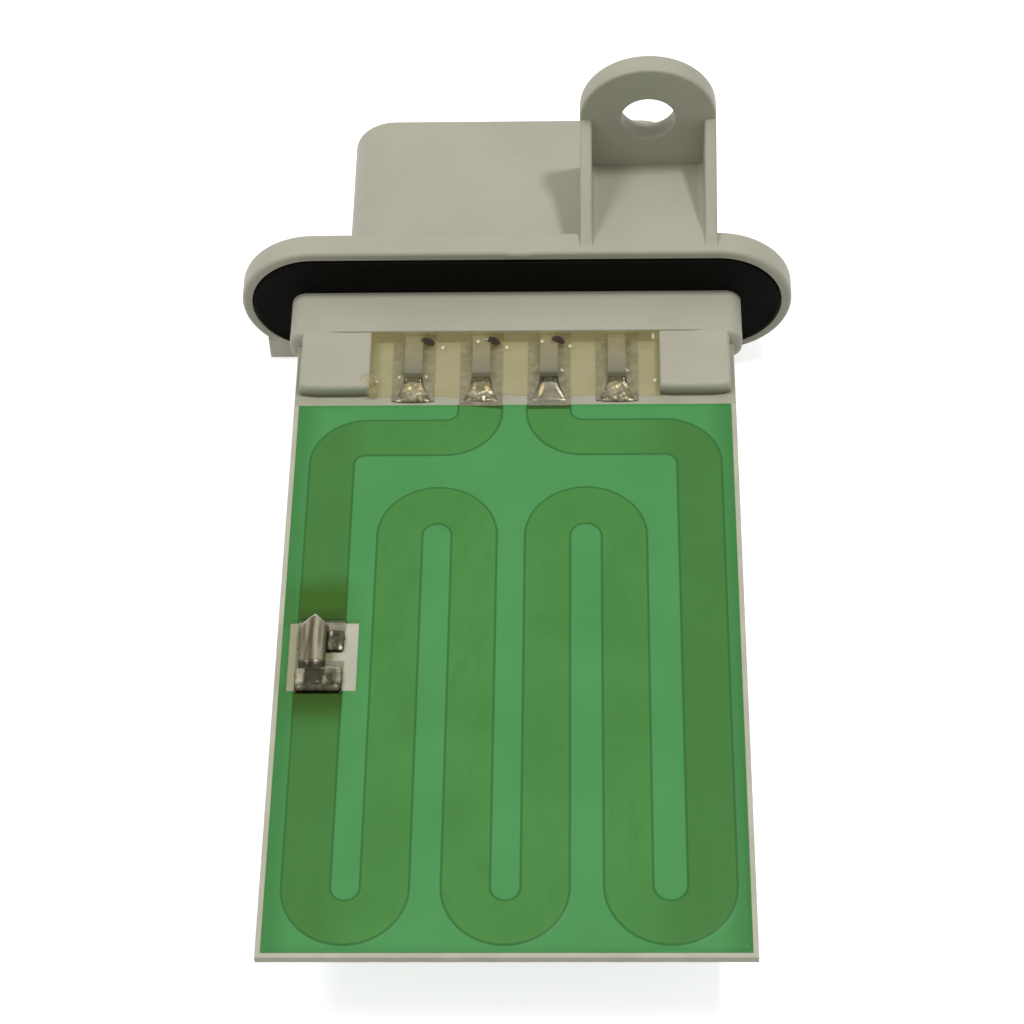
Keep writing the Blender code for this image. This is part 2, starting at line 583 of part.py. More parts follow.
def make_gasket(material):
    half_length = FLANGE_HALF_LENGTH - GASKET_INSET
    half_depth = FLANGE_HALF_DEPTH - GASKET_INSET

    def outline(inset):
        return stadium(half_length, half_depth, inset)

    gasket = rounded_slab("gasket", outline, -GASKET_PROUD, RECESS_DEPTH - GASKET_GAP, "Y", material,
                          low_fillet=GASKET_FILLET)
    hole = rounded_rectangle(NECK_HALF_WIDTH + GASKET_GAP, NECK_HALF_DEPTH + GASKET_GAP,
                             NECK_CORNER + GASKET_GAP)
    cut(gasket, prism("gasket_hole_cutter", hole, -GASKET_PROUD - OVERSHOOT, RECESS_DEPTH + OVERSHOOT,
                      "Y", material))


def make_flange(material):
    def outline(inset):
        return stadium(FLANGE_HALF_LENGTH, FLANGE_HALF_DEPTH, inset)

    housing = rounded_slab("housing", outline, 0.0, FLANGE_THICKNESS, "Y", material,
                           FLANGE_FILLET, FLANGE_FILLET)
    recess = stadium(FLANGE_HALF_LENGTH - GASKET_INSET + GASKET_GAP,
                     FLANGE_HALF_DEPTH - GASKET_INSET + GASKET_GAP)
    cut(housing, prism("gasket_recess_cutter", recess, -OVERSHOOT, RECESS_DEPTH, "Y", material))
    lug_left = -FLANGE_HALF_LENGTH + LUG_INSET
    lug = rectangle(lug_left, lug_left + LUG_WIDTH, -FLANGE_HALF_DEPTH - LUG_DROP,
                    -FLANGE_HALF_DEPTH + GASKET_INSET / 2)
    join(housing, prism("lug_guide", lug, 0.0, FLANGE_THICKNESS, "Y", material))
    return housing


def add_neck(housing, material):
    """The neck tapers towards its lower end. Two arms on each face hold the board's edges."""
    steps = ((-NECK_END, NECK_TAPER, NECK_CHAMFER), (-NECK_END + NECK_CHAMFER, NECK_TAPER, 0.0),
             (0.0, 0.0, 0.0), (FLANGE_THICKNESS, 0.0, 0.0))
    rings = []
    for y, taper, inset in steps:
        outline = rounded_rectangle(NECK_HALF_WIDTH - taper, NECK_HALF_DEPTH, NECK_CORNER, inset)
        rings.append(placed(outline, y, "Y"))
    join(housing, loft("neck_guide", rings, material))
    half_x = (ARM_OUTER - ARM_INNER) / 2
    root = -NECK_END + ARM_ROOT
    half_y = (ARM_END + root) / 2
    for across in (-1, 1):
        for side in (-1, 1):
            middle = (across * (ARM_OUTER + ARM_INNER) / 2, root - half_y)

            def outline(inset, middle=middle):
                return [(middle[0] + a, middle[1] + b)
                        for a, b in rounded_rectangle(half_x, half_y, ARM_CORNER, inset)]

            low, high = flipped(BOARD_FACE + BOARD_GAP, ARM_TOP, side)
            fillets = {"high_fillet" if side > 0 else "low_fillet": ARM_FILLET}
            arm = rounded_slab(f"arm_guide_{across}_{side}", outline, low, high, "Z", material, **fillets)
            join(housing, arm)


def add_socket(housing, material):
    def outline(inset):
        return rounded_rectangle(SOCKET_HALF_WIDTH, SOCKET_HALF_DEPTH, SOCKET_CORNER, inset)

    start = FLANGE_THICKNESS - RECESS_DEPTH / 2
    shell = rounded_slab("socket_guide", outline, start, SOCKET_RIM, "Y", material,
                         high_fillet=RIM_FILLET)
    join(housing, shell)
    catch = [(LATCH_CATCH, -SOCKET_HALF_DEPTH + SOCKET_WALL / 2),
             (LATCH_CATCH, -SOCKET_HALF_DEPTH - LATCH_HEIGHT),
             (LATCH_CATCH + LATCH_LENGTH / 4, -SOCKET_HALF_DEPTH - LATCH_HEIGHT),
             (LATCH_CATCH + LATCH_LENGTH, -SOCKET_HALF_DEPTH + SOCKET_WALL / 2)]
    join(housing, prism("latch_guide", catch, -LATCH_WIDTH / 2, LATCH_WIDTH / 2, "X", material))


def add_screw_tab(housing, material):
    """A plate with a round end and a screw hole, on a back wall, with a rib under each side."""
    left, right = TAB_MIDDLE - TAB_RADIUS, TAB_MIDDLE + TAB_RADIUS
    buried = SOCKET_HALF_DEPTH - SOCKET_WALL / 2

    def outline(inset):
        side = TAB_RADIUS - inset
        feet = [(TAB_MIDDLE - side, buried + inset), (TAB_MIDDLE + side, buried + inset)]
        return feet + arc((TAB_MIDDLE, TAB_HOLE_HEIGHT), side, 0, 180, arc_steps(TAB_RADIUS, 180))

    tab_top = TAB_BOTTOM + TAB_THICKNESS
    plate = rounded_slab("tab_guide", outline, TAB_BOTTOM, tab_top, "Y", material, TAB_FILLET, TAB_FILLET)
    join(housing, plate)
    wall = rectangle(left, right, buried, FLANGE_HALF_DEPTH)
    wall_start, wall_end = FLANGE_THICKNESS / 2, TAB_BOTTOM + TAB_THICKNESS / 2
    join(housing, prism("tab_wall_guide", wall, wall_start, wall_end, "Y", material))
    inside = FLANGE_HALF_DEPTH - SOCKET_WALL / 2
    overlap = TAB_BOTTOM + TAB_FILLET
    rib = [(RIB_FOOT, inside), (RIB_FOOT, FLANGE_HALF_DEPTH), (TAB_BOTTOM, TAB_HOLE_HEIGHT),
           (overlap, TAB_HOLE_HEIGHT), (overlap, inside)]
    for label, start in (("left", left), ("right", right - RIB_THICKNESS)):
        join(housing, prism(f"rib_guide_{label}", rib, start, start + RIB_THICKNESS, "X", material))
    hole_steps = arc_steps(TAB_HOLE_RADIUS, 360)
    hole = arc((TAB_MIDDLE, TAB_HOLE_HEIGHT), TAB_HOLE_RADIUS, 0, 360, hole_steps)[:-1]
    cut(housing, prism("screw_hole_cutter", hole, TAB_BOTTOM - OVERSHOOT, tab_top + OVERSHOOT, "Y",
                       material))


def cut_housing(housing, material):
    """The slot for the board, the terminals' channels and blade holes, and the socket's cavity."""
    half = TENON_WIDTH / 2 + BOARD_GAP
    slot_height = BOARD_FACE + BOARD_GAP
    socket_floor = CHANNEL_TOP + SOCKET_FLOOR_THICKNESS
    slot = rectangle(-half, half, -slot_height, slot_height)
    cut(housing, prism("board_slot_cutter", slot, -NECK_END - OVERSHOOT, TENON_DEPTH + BOARD_GAP, "Y",
                       material))
    for number, x in enumerate(TERMINAL_PLACES, 1):
        channel = rectangle(x - CHANNEL_LEFT, x + CHANNEL_RIGHT, -CHANNEL_HEIGHT, CHANNEL_HEIGHT)
        cut(housing, prism(f"channel_cutter_{number}", channel, -NECK_END - OVERSHOOT, CHANNEL_TOP, "Y",
                           material))
        blade_x = BLADE_WIDTH / 2 + TERMINAL_GAP
        blade_z = BLADE_THICKNESS / 2 + TERMINAL_GAP
        hole = rectangle(x - blade_x, x + blade_x, -blade_z, blade_z)
        cut(housing, prism(f"blade_hole_cutter_{number}", hole, CHANNEL_TOP - TERMINAL_GAP,
                           socket_floor + OVERSHOOT, "Y", material))
    cavity = rounded_rectangle(SOCKET_HALF_WIDTH, SOCKET_HALF_DEPTH, SOCKET_CORNER, SOCKET_WALL)
    cut(housing, prism("socket_cavity_cutter", cavity, socket_floor, SOCKET_RIM + OVERSHOOT, "Y",
                       material))


def make_housing(material):
    housing = make_flange(material)
    add_neck(housing, material)
    add_socket(housing, material)
    add_screw_tab(housing, material)
    cut_housing(housing, material)


def build():
    clear_scene()
    plastic = make_material("warm_grey_plastic", (0.42, 0.40, 0.32), 0.45)
    rubber = make_material("black_rubber", (0.006, 0.006, 0.005), 0.8)
    ceramic = make_material("ceramic", (0.37, 0.37, 0.31), 0.5)
    glaze = make_material("green_glaze", (0.07, 0.29, 0.08), 0.3)
    track = make_material("resistor_print", (0.05, 0.10, 0.05), 0.5)
    silver = make_material("conductor_print", (0.40, 0.38, 0.30), 0.35, 0.8)
    tinned = make_material("tinned_brass", (0.55, 0.52, 0.42), 0.3, 1.0)
    solder = make_material("solder", (0.45, 0.45, 0.43), 0.25, 1.0)
    resin = make_material("resin", (0.40, 0.36, 0.18), 0.15)
    make_housing(plastic)
    make_gasket(rubber)
    make_board(ceramic)
    make_front_print(track, silver, glaze)
    make_back_print(track, silver, glaze)
    for number, x in enumerate(TERMINAL_PLACES, 1):
        make_terminal(number, x, tinned)
        make_solder_joint(f"front_solder_joint_{number}", x, 1, PAD_WIDTH / 2 - FILM_GAP, solder)
        make_solder_joint(f"back_solder_joint_{number}", x, -1, BACK_TRACK_WIDTH / 2 - FILM_GAP, solder)
    make_fuse_clip(tinned)
    make_fuse_solder(solder)
    make_resin(resin)


build()
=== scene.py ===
"""Looks of the blower motor resistor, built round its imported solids.

Sizes are in millimetres and in the part's own frame: +X runs across the board, +Y from the board
towards the connector, and +Z out of the board's component side. A piece becomes metres when its
mesh is made.
"""
import json
import math

import bmesh
import bpy
import numpy as np
from mathutils import Matrix, Vector


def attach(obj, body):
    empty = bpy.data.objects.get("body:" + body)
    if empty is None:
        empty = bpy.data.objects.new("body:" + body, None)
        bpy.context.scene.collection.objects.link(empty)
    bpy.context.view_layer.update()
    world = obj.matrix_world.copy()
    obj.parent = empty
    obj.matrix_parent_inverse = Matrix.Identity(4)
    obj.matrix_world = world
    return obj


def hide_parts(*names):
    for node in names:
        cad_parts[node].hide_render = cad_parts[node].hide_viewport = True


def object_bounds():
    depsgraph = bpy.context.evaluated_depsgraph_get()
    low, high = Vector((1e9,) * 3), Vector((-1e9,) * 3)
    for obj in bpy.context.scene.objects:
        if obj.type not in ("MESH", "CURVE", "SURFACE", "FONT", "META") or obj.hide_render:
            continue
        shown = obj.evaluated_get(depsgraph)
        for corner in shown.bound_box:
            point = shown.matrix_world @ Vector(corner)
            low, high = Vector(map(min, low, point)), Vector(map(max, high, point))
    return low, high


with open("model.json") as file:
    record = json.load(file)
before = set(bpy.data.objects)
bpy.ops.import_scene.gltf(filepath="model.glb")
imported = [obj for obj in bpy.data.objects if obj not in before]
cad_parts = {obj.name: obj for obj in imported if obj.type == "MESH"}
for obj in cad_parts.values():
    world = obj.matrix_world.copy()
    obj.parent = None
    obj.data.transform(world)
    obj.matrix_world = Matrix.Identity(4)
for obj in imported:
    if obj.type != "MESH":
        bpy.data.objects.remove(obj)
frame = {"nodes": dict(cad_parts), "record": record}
cad_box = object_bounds()

MM = 0.001
WHITE = (1.0, 1.0, 1.0, 1.0)
BLACK = (0.0, 0.0, 0.0, 1.0)

# Sizes of the board and print
BOARD_HALF = 20.0
BOARD_FACE = 0.4
FREE_END = -68.2
TENON_HALF = 19.4
SHOULDER = -5.05
TENON_TOP = 1.0
FILM_LOW = 0.45
SHEET_HIGH = 0.62
DRAPE = 0.10
GLAZE_HALF = 19.54
GLAZE_TOP = -12.4
GLAZE_END = -67.74
TRACK_HALF = 2.0
BACK_TRACK_HALF = 1.3
BEND = 3.0
BACK_BEND = 1.9
CROSSING = -16.3
ARCH_TOP = -21.9
TURN_END = -67.2
LEGS = (-16.2, -9.856, -3.349, 3.06, 9.764, 16.5)
FUSED_LEG_END = -38.0
LONG_LEG_START = -42.0
BACK_LEG = 16.6
TERMINALS = (-9.255, -3.085, 3.085, 9.255)
# The band at the tongues' tips that gets painted shade: its edges along y
TIP_SHADE_BAND = (-10.25, -10.0, -9.3, -9.0)

# The fuse. A window in the glaze is its left, right, lower and upper edge.
WINDOW = (-18.93, -13.03, -43.1, -36.2)
NO_WINDOW = (0.0, 0.0, -40.0, -40.0)
CLIP_X = -16.82
CLIP_HALF = 1.14
CLIP_TOP = -35.95
CLIP_FOOT = -42.6
LOWER_JOINT = (-18.22, -14.22, -43.34, -40.62)
UPPER_JOINTS = ((-15.85, -14.2, -39.2, -37.1), (-18.1, -15.6, -38.3, -36.35))

# Solder at the tongues' tips, and resin
JOINT_START = -9.25
JOINT_LENGTH = 2.75
JOINT_SMOOTHNESS = (0.3, 0.1, 0.85, 0.0)
PAD_TOP = 0.52
SOLDER_LOW = 0.47
RESIN_START = -4.92
RESIN_END = -11.4
TIP_CLEARNESS = (0.09, 0.09, 0.17, 0.1)
DROPS = (((-13.4, -10.3, 1.2), (0.85, 0.95, 0.74), 1.0),
         ((-13.0, -11.05, 0.8), (0.62, 0.66, 0.5), 2.0))

# Spots on a surface: x, y, half width, half height, and how far it leans where it does
GOLD_GLINTS = ((-9.54, -10.75, 0.2, 0.22), (-8.53, -10.6, 0.24, 0.36), (-3.67, -10.7, 0.17, 0.22),
               (-2.5, -10.7, 0.26, 0.26), (2.41, -10.95, 0.2, 0.75, 0.25),
               (8.11, -11.0, 0.14, 0.16), (9.29, -10.7, 0.17, 0.2))
WHITE_GLINTS = ((-2.2, -11.1, 0.2, 0.2), (-2.8, -11.8, 0.13, 0.3), (4.09, -11.1, 0.16, 0.9, -0.5),
                (10.13, -10.4, 0.17, 0.3, -0.3))
STEP_GLINTS = ((CLIP_X - 0.36, -40.78, 0.2, 0.2), (CLIP_X + 0.38, -40.78, 0.26, 0.2))
FUSE_GLINTS = ((-14.42, -39.05, 0.24, 0.24), (-15.6, -39.45, 0.14, 0.16))
FUSE_SHEEN = (-15.3, -37.55, 0.17, 0.42)
RIGHT_POOL = (-15.05, -41.95, 0.62, 0.95)
UPPER_POOL = (-14.75, -38.1, 0.75, 1.2)
VOIDS = [(x + shift, -5.5, 0.86, 0.42) for x, shift in zip(TERMINALS, (1.25, 1.08, 0.85))]
RESIN_GLINTS = [(x, y, 0.17, 0.2) for x, y in (
    (-10.53, -9.4), (-8.06, -9.4), (4.28, -8.75), (10.2, -8.95), (-6.66, -5.95), (-3.4, -5.8),
    (-0.78, -5.95), (2.45, -5.8), (4.99, -5.85), (12.6, -5.2), (12.69, -10.0), (-12.58, -9.9))]

# Sizes of the housing
FLANGE_HALF = 25.55
FLANGE_DEPTH = 7.05
FLANGE_TOP = 2.5
GASKET_INSET = 1.08
RECESS = 1.2
NECK_HALF = 20.8
NECK_DEPTH = 1.95
NECK_END = -4.9
NECK_CORNER = 1.5
SIDE_STEPS = 19
SLOT_HALF = 19.55
SLOT_DEPTH = 0.55
CHANNEL_DEPTH = 1.5
ARM_INNER = 13.155
ARM_OUTER = 19.55
ARM_END = -11.35
ARM_TOP = 1.75
SOCKET_HALF = 15.65
SOCKET_DEPTH = 4.7
SOCKET_CORNER = 4.0
SOCKET_WALL = 1.4
SOCKET_FLOOR = 4.5
SOCKET_RIM = 19.0
TAB_X = 12.24
TAB_RADIUS = 6.25
TAB_Z = 13.1
TAB_LOW = 10.8
TAB_HIGH = 12.8
HOLE_RADIUS = 2.5
RIB = 1.1
RIB_FOOT = 0.35
BURIED = 4.0
BAND = 0.06

# Stage, in metres
WORLD_LIGHT = 0.38
FLOOR_LIFT = 0.72
LAMP_AIM = (0, -0.02, 0)
LAMPS = (("left_lamp", (-0.43, 0.04, 0.66), 0.26, 1.9),
         ("right_lamp", (0.27, 0.07, 0.74), 0.1, 2.15))


# Skins: closed surfaces worked out as whole arrays. A skin is its points and its groups of faces.

def quads(rows, columns, close_rows, close_columns):
    """Four-sided faces between neighbours on a grid. A closed direction runs on to its start."""
    i = np.arange(rows if close_rows else rows - 1)[:, None]
    j = np.arange(columns if close_columns else columns - 1)[None, :]
    up, along = (i + 1) % rows, (j + 1) % columns
    corners = (i * columns + j, i * columns + along, up * columns + along, up * columns + j)
    corners = [np.broadcast_to(corner, (i.size, j.size)) for corner in corners]
    return np.stack(corners, -1).reshape(-1, 4)


def capped(points):
    """A skin through rings of points, closed with a flat face on its first and last ring."""
    rows, columns = points.shape[:2]
    first = np.arange(columns)
    ends = np.stack([first, first + (rows - 1) * columns])
    return points.reshape(-1, 3), [quads(rows, columns, False, True), ends]


def hoop(points):
    """A skin whose rings are closed and whose last ring joins its first, like a tyre."""
    rows, columns = points.shape[:2]
    return points.reshape(-1, 3), [quads(rows, columns, True, True)]


def two_sided(top, under, kept=None):
    """A closed skin between two sheets on the same grid, and which of its points it uses.

    Cells that aren't kept are left open, with walls round them.
    """
    rows, columns = top.shape[:2]
    count = rows * columns
    if kept is None:
        kept = np.ones((rows - 1, columns - 1), bool)
    cells = quads(rows, columns, False, False).reshape(rows - 1, columns - 1, 4)
    faces = [cells[kept], cells[kept][:, ::-1] + count]
    framed = np.pad(kept, 1)
    for step, first, second in (((0, 1), 0, 3), ((0, -1), 1, 2), ((1, 0), 0, 1), ((-1, 0), 3, 2)):
        beside = np.roll(framed, step, (0, 1))[1:-1, 1:-1]
        edge = cells[kept & ~beside]
        a, b = edge[:, first], edge[:, second]
        faces.append(np.stack([a, b, b + count, a + count], -1))
    every = np.concatenate(faces)
    used = np.zeros(2 * count, bool)
    used[every.ravel()] = True
    renumber = np.cumsum(used) - 1
    points = np.r_[top.reshape(-1, 3), under.reshape(-1, 3)]
    return (points[used], [renumber[every]]), used


def sheet(x, y, z, base):
    """A closed skin from heights over a grid down to one flat level."""
    x, y, z = np.broadcast_arrays(x, y, z)
    return two_sided(np.stack([x, y, z], -1), np.stack([x, y, np.full(z.shape, base)], -1))[0]


def quarter(steps):
    """Even angles from 0 to 90 degrees."""
    return np.radians(np.linspace(0, 90, steps + 1))


def fillet(steps):
    """A unit quarter circle: one distance falls from 1 to 0 while the other climbs from 0 to 1."""
    return 1 - np.sin(quarter(steps)), 1 - np.cos(quarter(steps))


def round_outline(half_x, half_y, corner, inset, bend, straight):
    """A rectangle with round corners: four quarter circles joined by straight sides.

    Each inset gives one row. Bend counts the steps round a corner, and straight those on a side.
    """
    inset = np.atleast_1d(np.asarray(inset, float))[:, None]
    angle = (np.radians([[0], [90], [180], [270]]) + quarter(bend)).ravel()
    side_x, side_y = np.repeat([[1, -1, -1, 1], [1, 1, -1, -1]], bend + 1, axis=1)
    radius = np.maximum(corner - inset, 0.02)
    x = side_x * (half_x - inset - radius) + radius * np.cos(angle)
    y = side_y * (half_y - inset - radius) + radius * np.sin(angle)
    points = np.stack([x, y], -1)
    steps = np.r_[np.arange(bend), bend + np.arange(straight) / straight]
    stops = (np.arange(4)[:, None] * (bend + 1) + steps).ravel()
    first = stops.astype(int)
    share = (stops - first)[:, None]
    return points[:, first] * (1 - share) + points[:, (first + 1) % angle.size] * share


def placed(outline, height, axis, centre=(0.0, 0.0)):
    """Rows of flat points, each at its own height. Their numbers run along the other two axes."""
    a, b = outline[..., 0] + centre[0], outline[..., 1] + centre[1]
    h = np.broadcast_to(np.asarray(height, float)[:, None], a.shape)
    return np.stack({"X": (h, a, b), "Y": (a, h, b), "Z": (a, b, h)}[axis], -1)


def edge_course(low, high, low_fillet, high_fillet, steps):
    """Insets and heights up a plate: a quarter circle at each edge and a flat band on each face."""
    fall, climb = fillet(steps)
    inset = np.r_[low_fillet + BAND, low_fillet * fall, high_fillet * climb, high_fillet + BAND]
    height = np.r_[low, low + low_fillet * climb, high - high_fillet * fall, high]
    return inset, height


def drawn_in(outline, insets):
    """Rows of a closed outline moved inwards along its normals, which come from neighbours."""
    run = np.roll(outline, -1, axis=0) - np.roll(outline, 1, axis=0)
    inward = np.stack([-run[:, 1], run[:, 0]], -1) / np.linalg.norm(run, axis=1, keepdims=True)
    return outline + np.asarray(insets, float)[..., None] * inward


def ripple(along, seed):
    """A slow uneven waver: a sum of three sine waves, each with its own pace and share."""
    waves = enumerate(((0.7, 1.0), (1.9, 0.6), (4.3, 0.4)))
    return sum(share * np.sin(pace * along + seed * (k + 1.7)) for k, (pace, share) in waves) / 2


def rounding(distance, radius):
    """How far a surface has dropped at a distance from an edge that a quarter circle rounds."""
    return radius - np.sqrt(radius ** 2 - np.clip(radius - distance, 0, radius) ** 2)


def bell(value, middle, width, power=2):
    """A smooth hump of height 1 at the middle, nearly 0 beyond about twice the width."""
    return np.exp(-np.abs((value - middle) / width) ** power)


def eased(share):
    """A share from 0 to 1 that starts and ends gently: three squares less two cubes."""
    return share ** 2 * (3 - 2 * share)


def add_object(name, data):
    """A new object in the scene."""
    thing = bpy.data.objects.new(name, data)
    bpy.context.scene.collection.objects.link(thing)
    return thing


def make_piece(name, skins, finish, node, sharp=38, marks=None):
    """One mesh from closed skins, in metres, its doubles merged and every face turned outwards.

    A mark is a value at every point that the finish reads.
    """
    starts = np.cumsum([0] + [len(points) for points, _ in skins])
    places = np.concatenate([points for points, _ in skins]) * MM
    faces = [face for start, (_, groups) in zip(starts, skins)
             for group in groups for face in (group + start).tolist()]
    mesh = bpy.data.meshes.new(name)
    mesh.from_pydata(places.tolist(), [], faces)
    for label, values in (marks or {}).items():
        mark = mesh.attributes.new(label, "FLOAT", "POINT")
        mark.data.foreach_set("value", values.astype(np.float32))
    work = bmesh.new()
    work.from_mesh(mesh)
    bmesh.ops.remove_doubles(work, verts=work.verts, dist=1e-8)
    bmesh.ops.recalc_face_normals(work, faces=work.faces)
    work.to_mesh(mesh)
    work.free()
    mesh.shade_smooth()
    mesh.set_sharp_from_angle(angle=math.radians(sharp))
    mesh.materials.append(finish)
    piece = add_object(name, mesh)
    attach(piece, "root")
    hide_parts(node)


# Finishes

def shade(red, green, blue):
    """A screen's colour, from 0 to 255, turned into the linear numbers that a shader takes."""
    parts = [value / 255 for value in (red, green, blue)]
    return (*[p / 12.92 if p <= 0.04045 else ((p + 0.055) / 1.055) ** 2.4 for p in parts], 1.0)


class Wire:
    """One output of a finish's nodes. Arithmetic on it adds Math nodes."""

    def __init__(self, finish, link):
        self.finish, self.link = finish, link

    def math(self, operation, *values):
        """A Math node of these values or wires."""
        return self.finish.node("ShaderNodeMath", {"operation": operation}, dict(enumerate(values)))

    def __add__(self, other):
        return self.math("ADD", self, other)

    def __radd__(self, other):
        return self.math("ADD", other, self)

    def __sub__(self, other):
        return self.math("SUBTRACT", self, other)

    def __rsub__(self, other):
        return self.math("SUBTRACT", other, self)

    def __mul__(self, other):
        return self.math("MULTIPLY", self, other)

    def __rmul__(self, other):
        return self.math("MULTIPLY", other, self)

    def __truediv__(self, other):
        return self.math("DIVIDE", self, other)

    def __pow__(self, other):
        return self.math("POWER", self, other)

    def __abs__(self):
        return self.math("ABSOLUTE", self)

    def between(self, low, high):
        """0 below low and 1 above high, with a smooth step. With low above high it falls."""
        values = {"Value": self, "From Min": low, "From Max": high}
        return self.finish.node("ShaderNodeMapRange", {"interpolation_type": "SMOOTHSTEP"}, values)

    def within(self, first, second, third, fourth):
        """0 up to the first, 1 from the second to the third, and 0 again from the fourth."""
        return self.between(first, second) * self.between(fourth, third)

    def stripe(self, middle, half):
        """1 in the middle of a band, falling smoothly to 0 at its edges."""
        return (1 - abs(self - middle) / half).between(0.0, 0.8)


class Nodes:
    """A node tree, and the one way in which a node is added to it."""

    def __init__(self, tree):
        self.tree = tree

    def node(self, kind, settings=None, values=None, output=0):
        """Adds a node: settings first, then a value or wire for each socket. Gives an output."""
        made = self.tree.nodes.new(kind)
        for label, value in (settings or {}).items():
            setattr(made, label, value)
        for label, value in (values or {}).items():
            self.fill(made.inputs[label], value)
        return Wire(self, made.outputs[output])

    def fill(self, socket, value):
        """Gives a socket a value or a wire."""
        if isinstance(value, Wire):
            self.tree.links.new(value.link, socket)
        else:
            socket.default_value = value

    def seen(self):
        """1 for the camera's rays, also by way of gloss or clear stuff, and 0 for light."""
        kinds = ("Is Camera Ray", "Is Glossy Ray", "Is Transmission Ray")
        straight, gloss, through = (self.node("ShaderNodeLightPath", output=kind) for kind in kinds)
        return straight.math("MINIMUM", straight + gloss + through, 1.0)


class Finish(Nodes):
    """A material and the nodes that vary it. Its place is the point on the piece in millimetres."""

    def __init__(self, name, colour, roughness, metallic=0.0, specular=0.5, alpha=1.0):
        self.material = bpy.data.materials.new(name)
        self.material.use_nodes = True
        super().__init__(self.material.node_tree)
        self.shader = self.tree.nodes["Principled BSDF"]
        steady = {"Base Color": colour, "Roughness": roughness, "Metallic": metallic,
                  "Specular IOR Level": specular, "Alpha": alpha}
        for label, value in steady.items():
            self.put(label, value)
        point = self.node("ShaderNodeTexCoord", output="Object")
        values = {0: point, "Scale": 1 / MM}
        self.place = self.node("ShaderNodeVectorMath", {"operation": "SCALE"}, values)
        self.x, self.y, self.z = (self.node("ShaderNodeSeparateXYZ", {}, {0: self.place}, axis)
                                  for axis in range(3))

    def put(self, label, value):
        """Sets one of the shader's own sockets to a value or a wire."""
        self.fill(self.shader.inputs[label], value)

    def attribute(self, label):
        """A mark that the mesh carries at every point."""
        return self.node("ShaderNodeAttribute", {"attribute_name": label}, output="Fac")

    def noise(self, size, detail=2.0, rough=0.5, stretch=(1.0, 1.0, 1.0), shift=0.0, twist=0.0):
        """Cloudy noise from 0 to 1 whose lumps are about size millimetres wide."""
        vector = "ShaderNodeVectorMath"
        scaled = self.node(vector, {"operation": "MULTIPLY"}, {0: self.place, 1: stretch})
        moved = self.node(vector, {"operation": "ADD"}, {0: scaled, 1: (shift,) * 3})
        values = {"Vector": moved, "Scale": 1.0 / size, "Detail": detail, "Roughness": rough,
                  "Distortion": twist}
        return self.node("ShaderNodeTexNoise", {}, values)

    def mix(self, share, first, second):
        """The first colour where share is 0, and the second where it is 1."""
        values = {0: share, 6: first, 7: second}
        return self.node("ShaderNodeMix", {"data_type": "RGBA"}, values, output=2)

    def colour(self, tone):
        """Makes a wire the piece's colour so far."""
        self.tone = tone
        self.put("Base Color", tone)

    def blend(self, share, first, second):
        """Starts the colour off between two screen colours."""
        self.colour(self.mix(share, shade(*first), shade(*second)))

    def paint(self, share, *colour):
        """Lays a screen colour over the colour so far, by a share from 0 to 1."""
        self.colour(self.mix(share, self.tone, shade(*colour)))

    def relief(self, height):
        """Small unevenness: the height is in millimetres."""
        values = {"Strength": 1.0, "Distance": MM, "Height": height}
        self.put("Normal", self.node("ShaderNodeBump", {}, values))

    def spot(self, x, y, wide, high, lean=0.0):
        """1 in the middle of an oval, falling smoothly to 0. A lean shifts it as it goes up."""
        up = self.y - y
        across = self.x - x - up * lean
        return ((across / wide) ** 2 + (up / high) ** 2).between(1.3, 0.0)

    def spots(self, places):
        """Several ovals at once."""
        return sum(self.spot(*place) for place in places)

    def tip_shade(self):
        """1 on each tongue tip's band, which leans away from the light, for painted shade."""
        return self.y.within(*TIP_SHADE_BAND) * self.z.between(0.3, 0.5)


def plastic_finish():
    """Warm grey moulded plastic: cloudy tone, fine mould grain, and a few faint scuffs.

    The arms' ends get painted shade low down, and the lug's front painted light beyond its shape.
    """
    finish = Finish("housing_plastic", shade(176, 173, 156), 0.55, specular=0.35)
    x, y, z = finish.x, finish.y, finish.z
    cloud = finish.noise(7.0, 3.0)
    grain = finish.noise(0.22, 2.0)
    finish.blend(cloud.between(0.3, 0.7), (174, 171, 153), (179, 176, 159))
    # painted shade: the arms' ends darken low down, where they meet the board
    arm_end_shade = y.between(ARM_END + 0.6, ARM_END + 0.1) * z.within(0.3, 0.5, 0.6, 1.25)
    finish.paint(arm_end_shade * 0.8, 108, 110, 80)
    # painted light: the lug's front is lightened beyond what its shape catches
    lug_painted_light = y.between(0.3, 0.1) * z.between(-4.0, -5.5) * x.between(-19.0, -19.5)
    finish.paint(lug_painted_light, 212, 208, 189)
    speck = finish.noise(0.5, 1.0, shift=9.0).between(0.72, 0.8)
    finish.paint(speck * 0.35, 150, 146, 126)
    scuff = finish.noise(1.4, 4.0, 0.7, (1.0, 0.25, 1.0), 4.0, 1.5).between(0.55, 0.75)
    finish.put("Roughness", 0.46 + grain * 0.1 - scuff * 0.1)
    finish.relief(grain * 0.006 + finish.noise(2.5, 2.0, shift=2.0) * 0.03)
    return finish.material


def rubber_finish():
    """Black moulded rubber: nearly flat, with a slight bloom and fine dust."""
    finish = Finish("gasket_rubber", shade(8, 7, 5), 0.8, specular=0.07)
    bloom = finish.noise(2.2, 3.0).between(0.4, 0.8)
    dust = finish.noise(0.18, 1.0, shift=5.0).between(0.7, 0.78)
    finish.blend(bloom, (6, 5, 3), (13, 12, 9))
    finish.paint(dust * 0.3, 48, 46, 40)
    finish.put("Roughness", 0.74 + bloom * 0.12)
    finish.relief(finish.noise(0.3, 2.0, shift=1.0) * 0.02)
    return finish.material


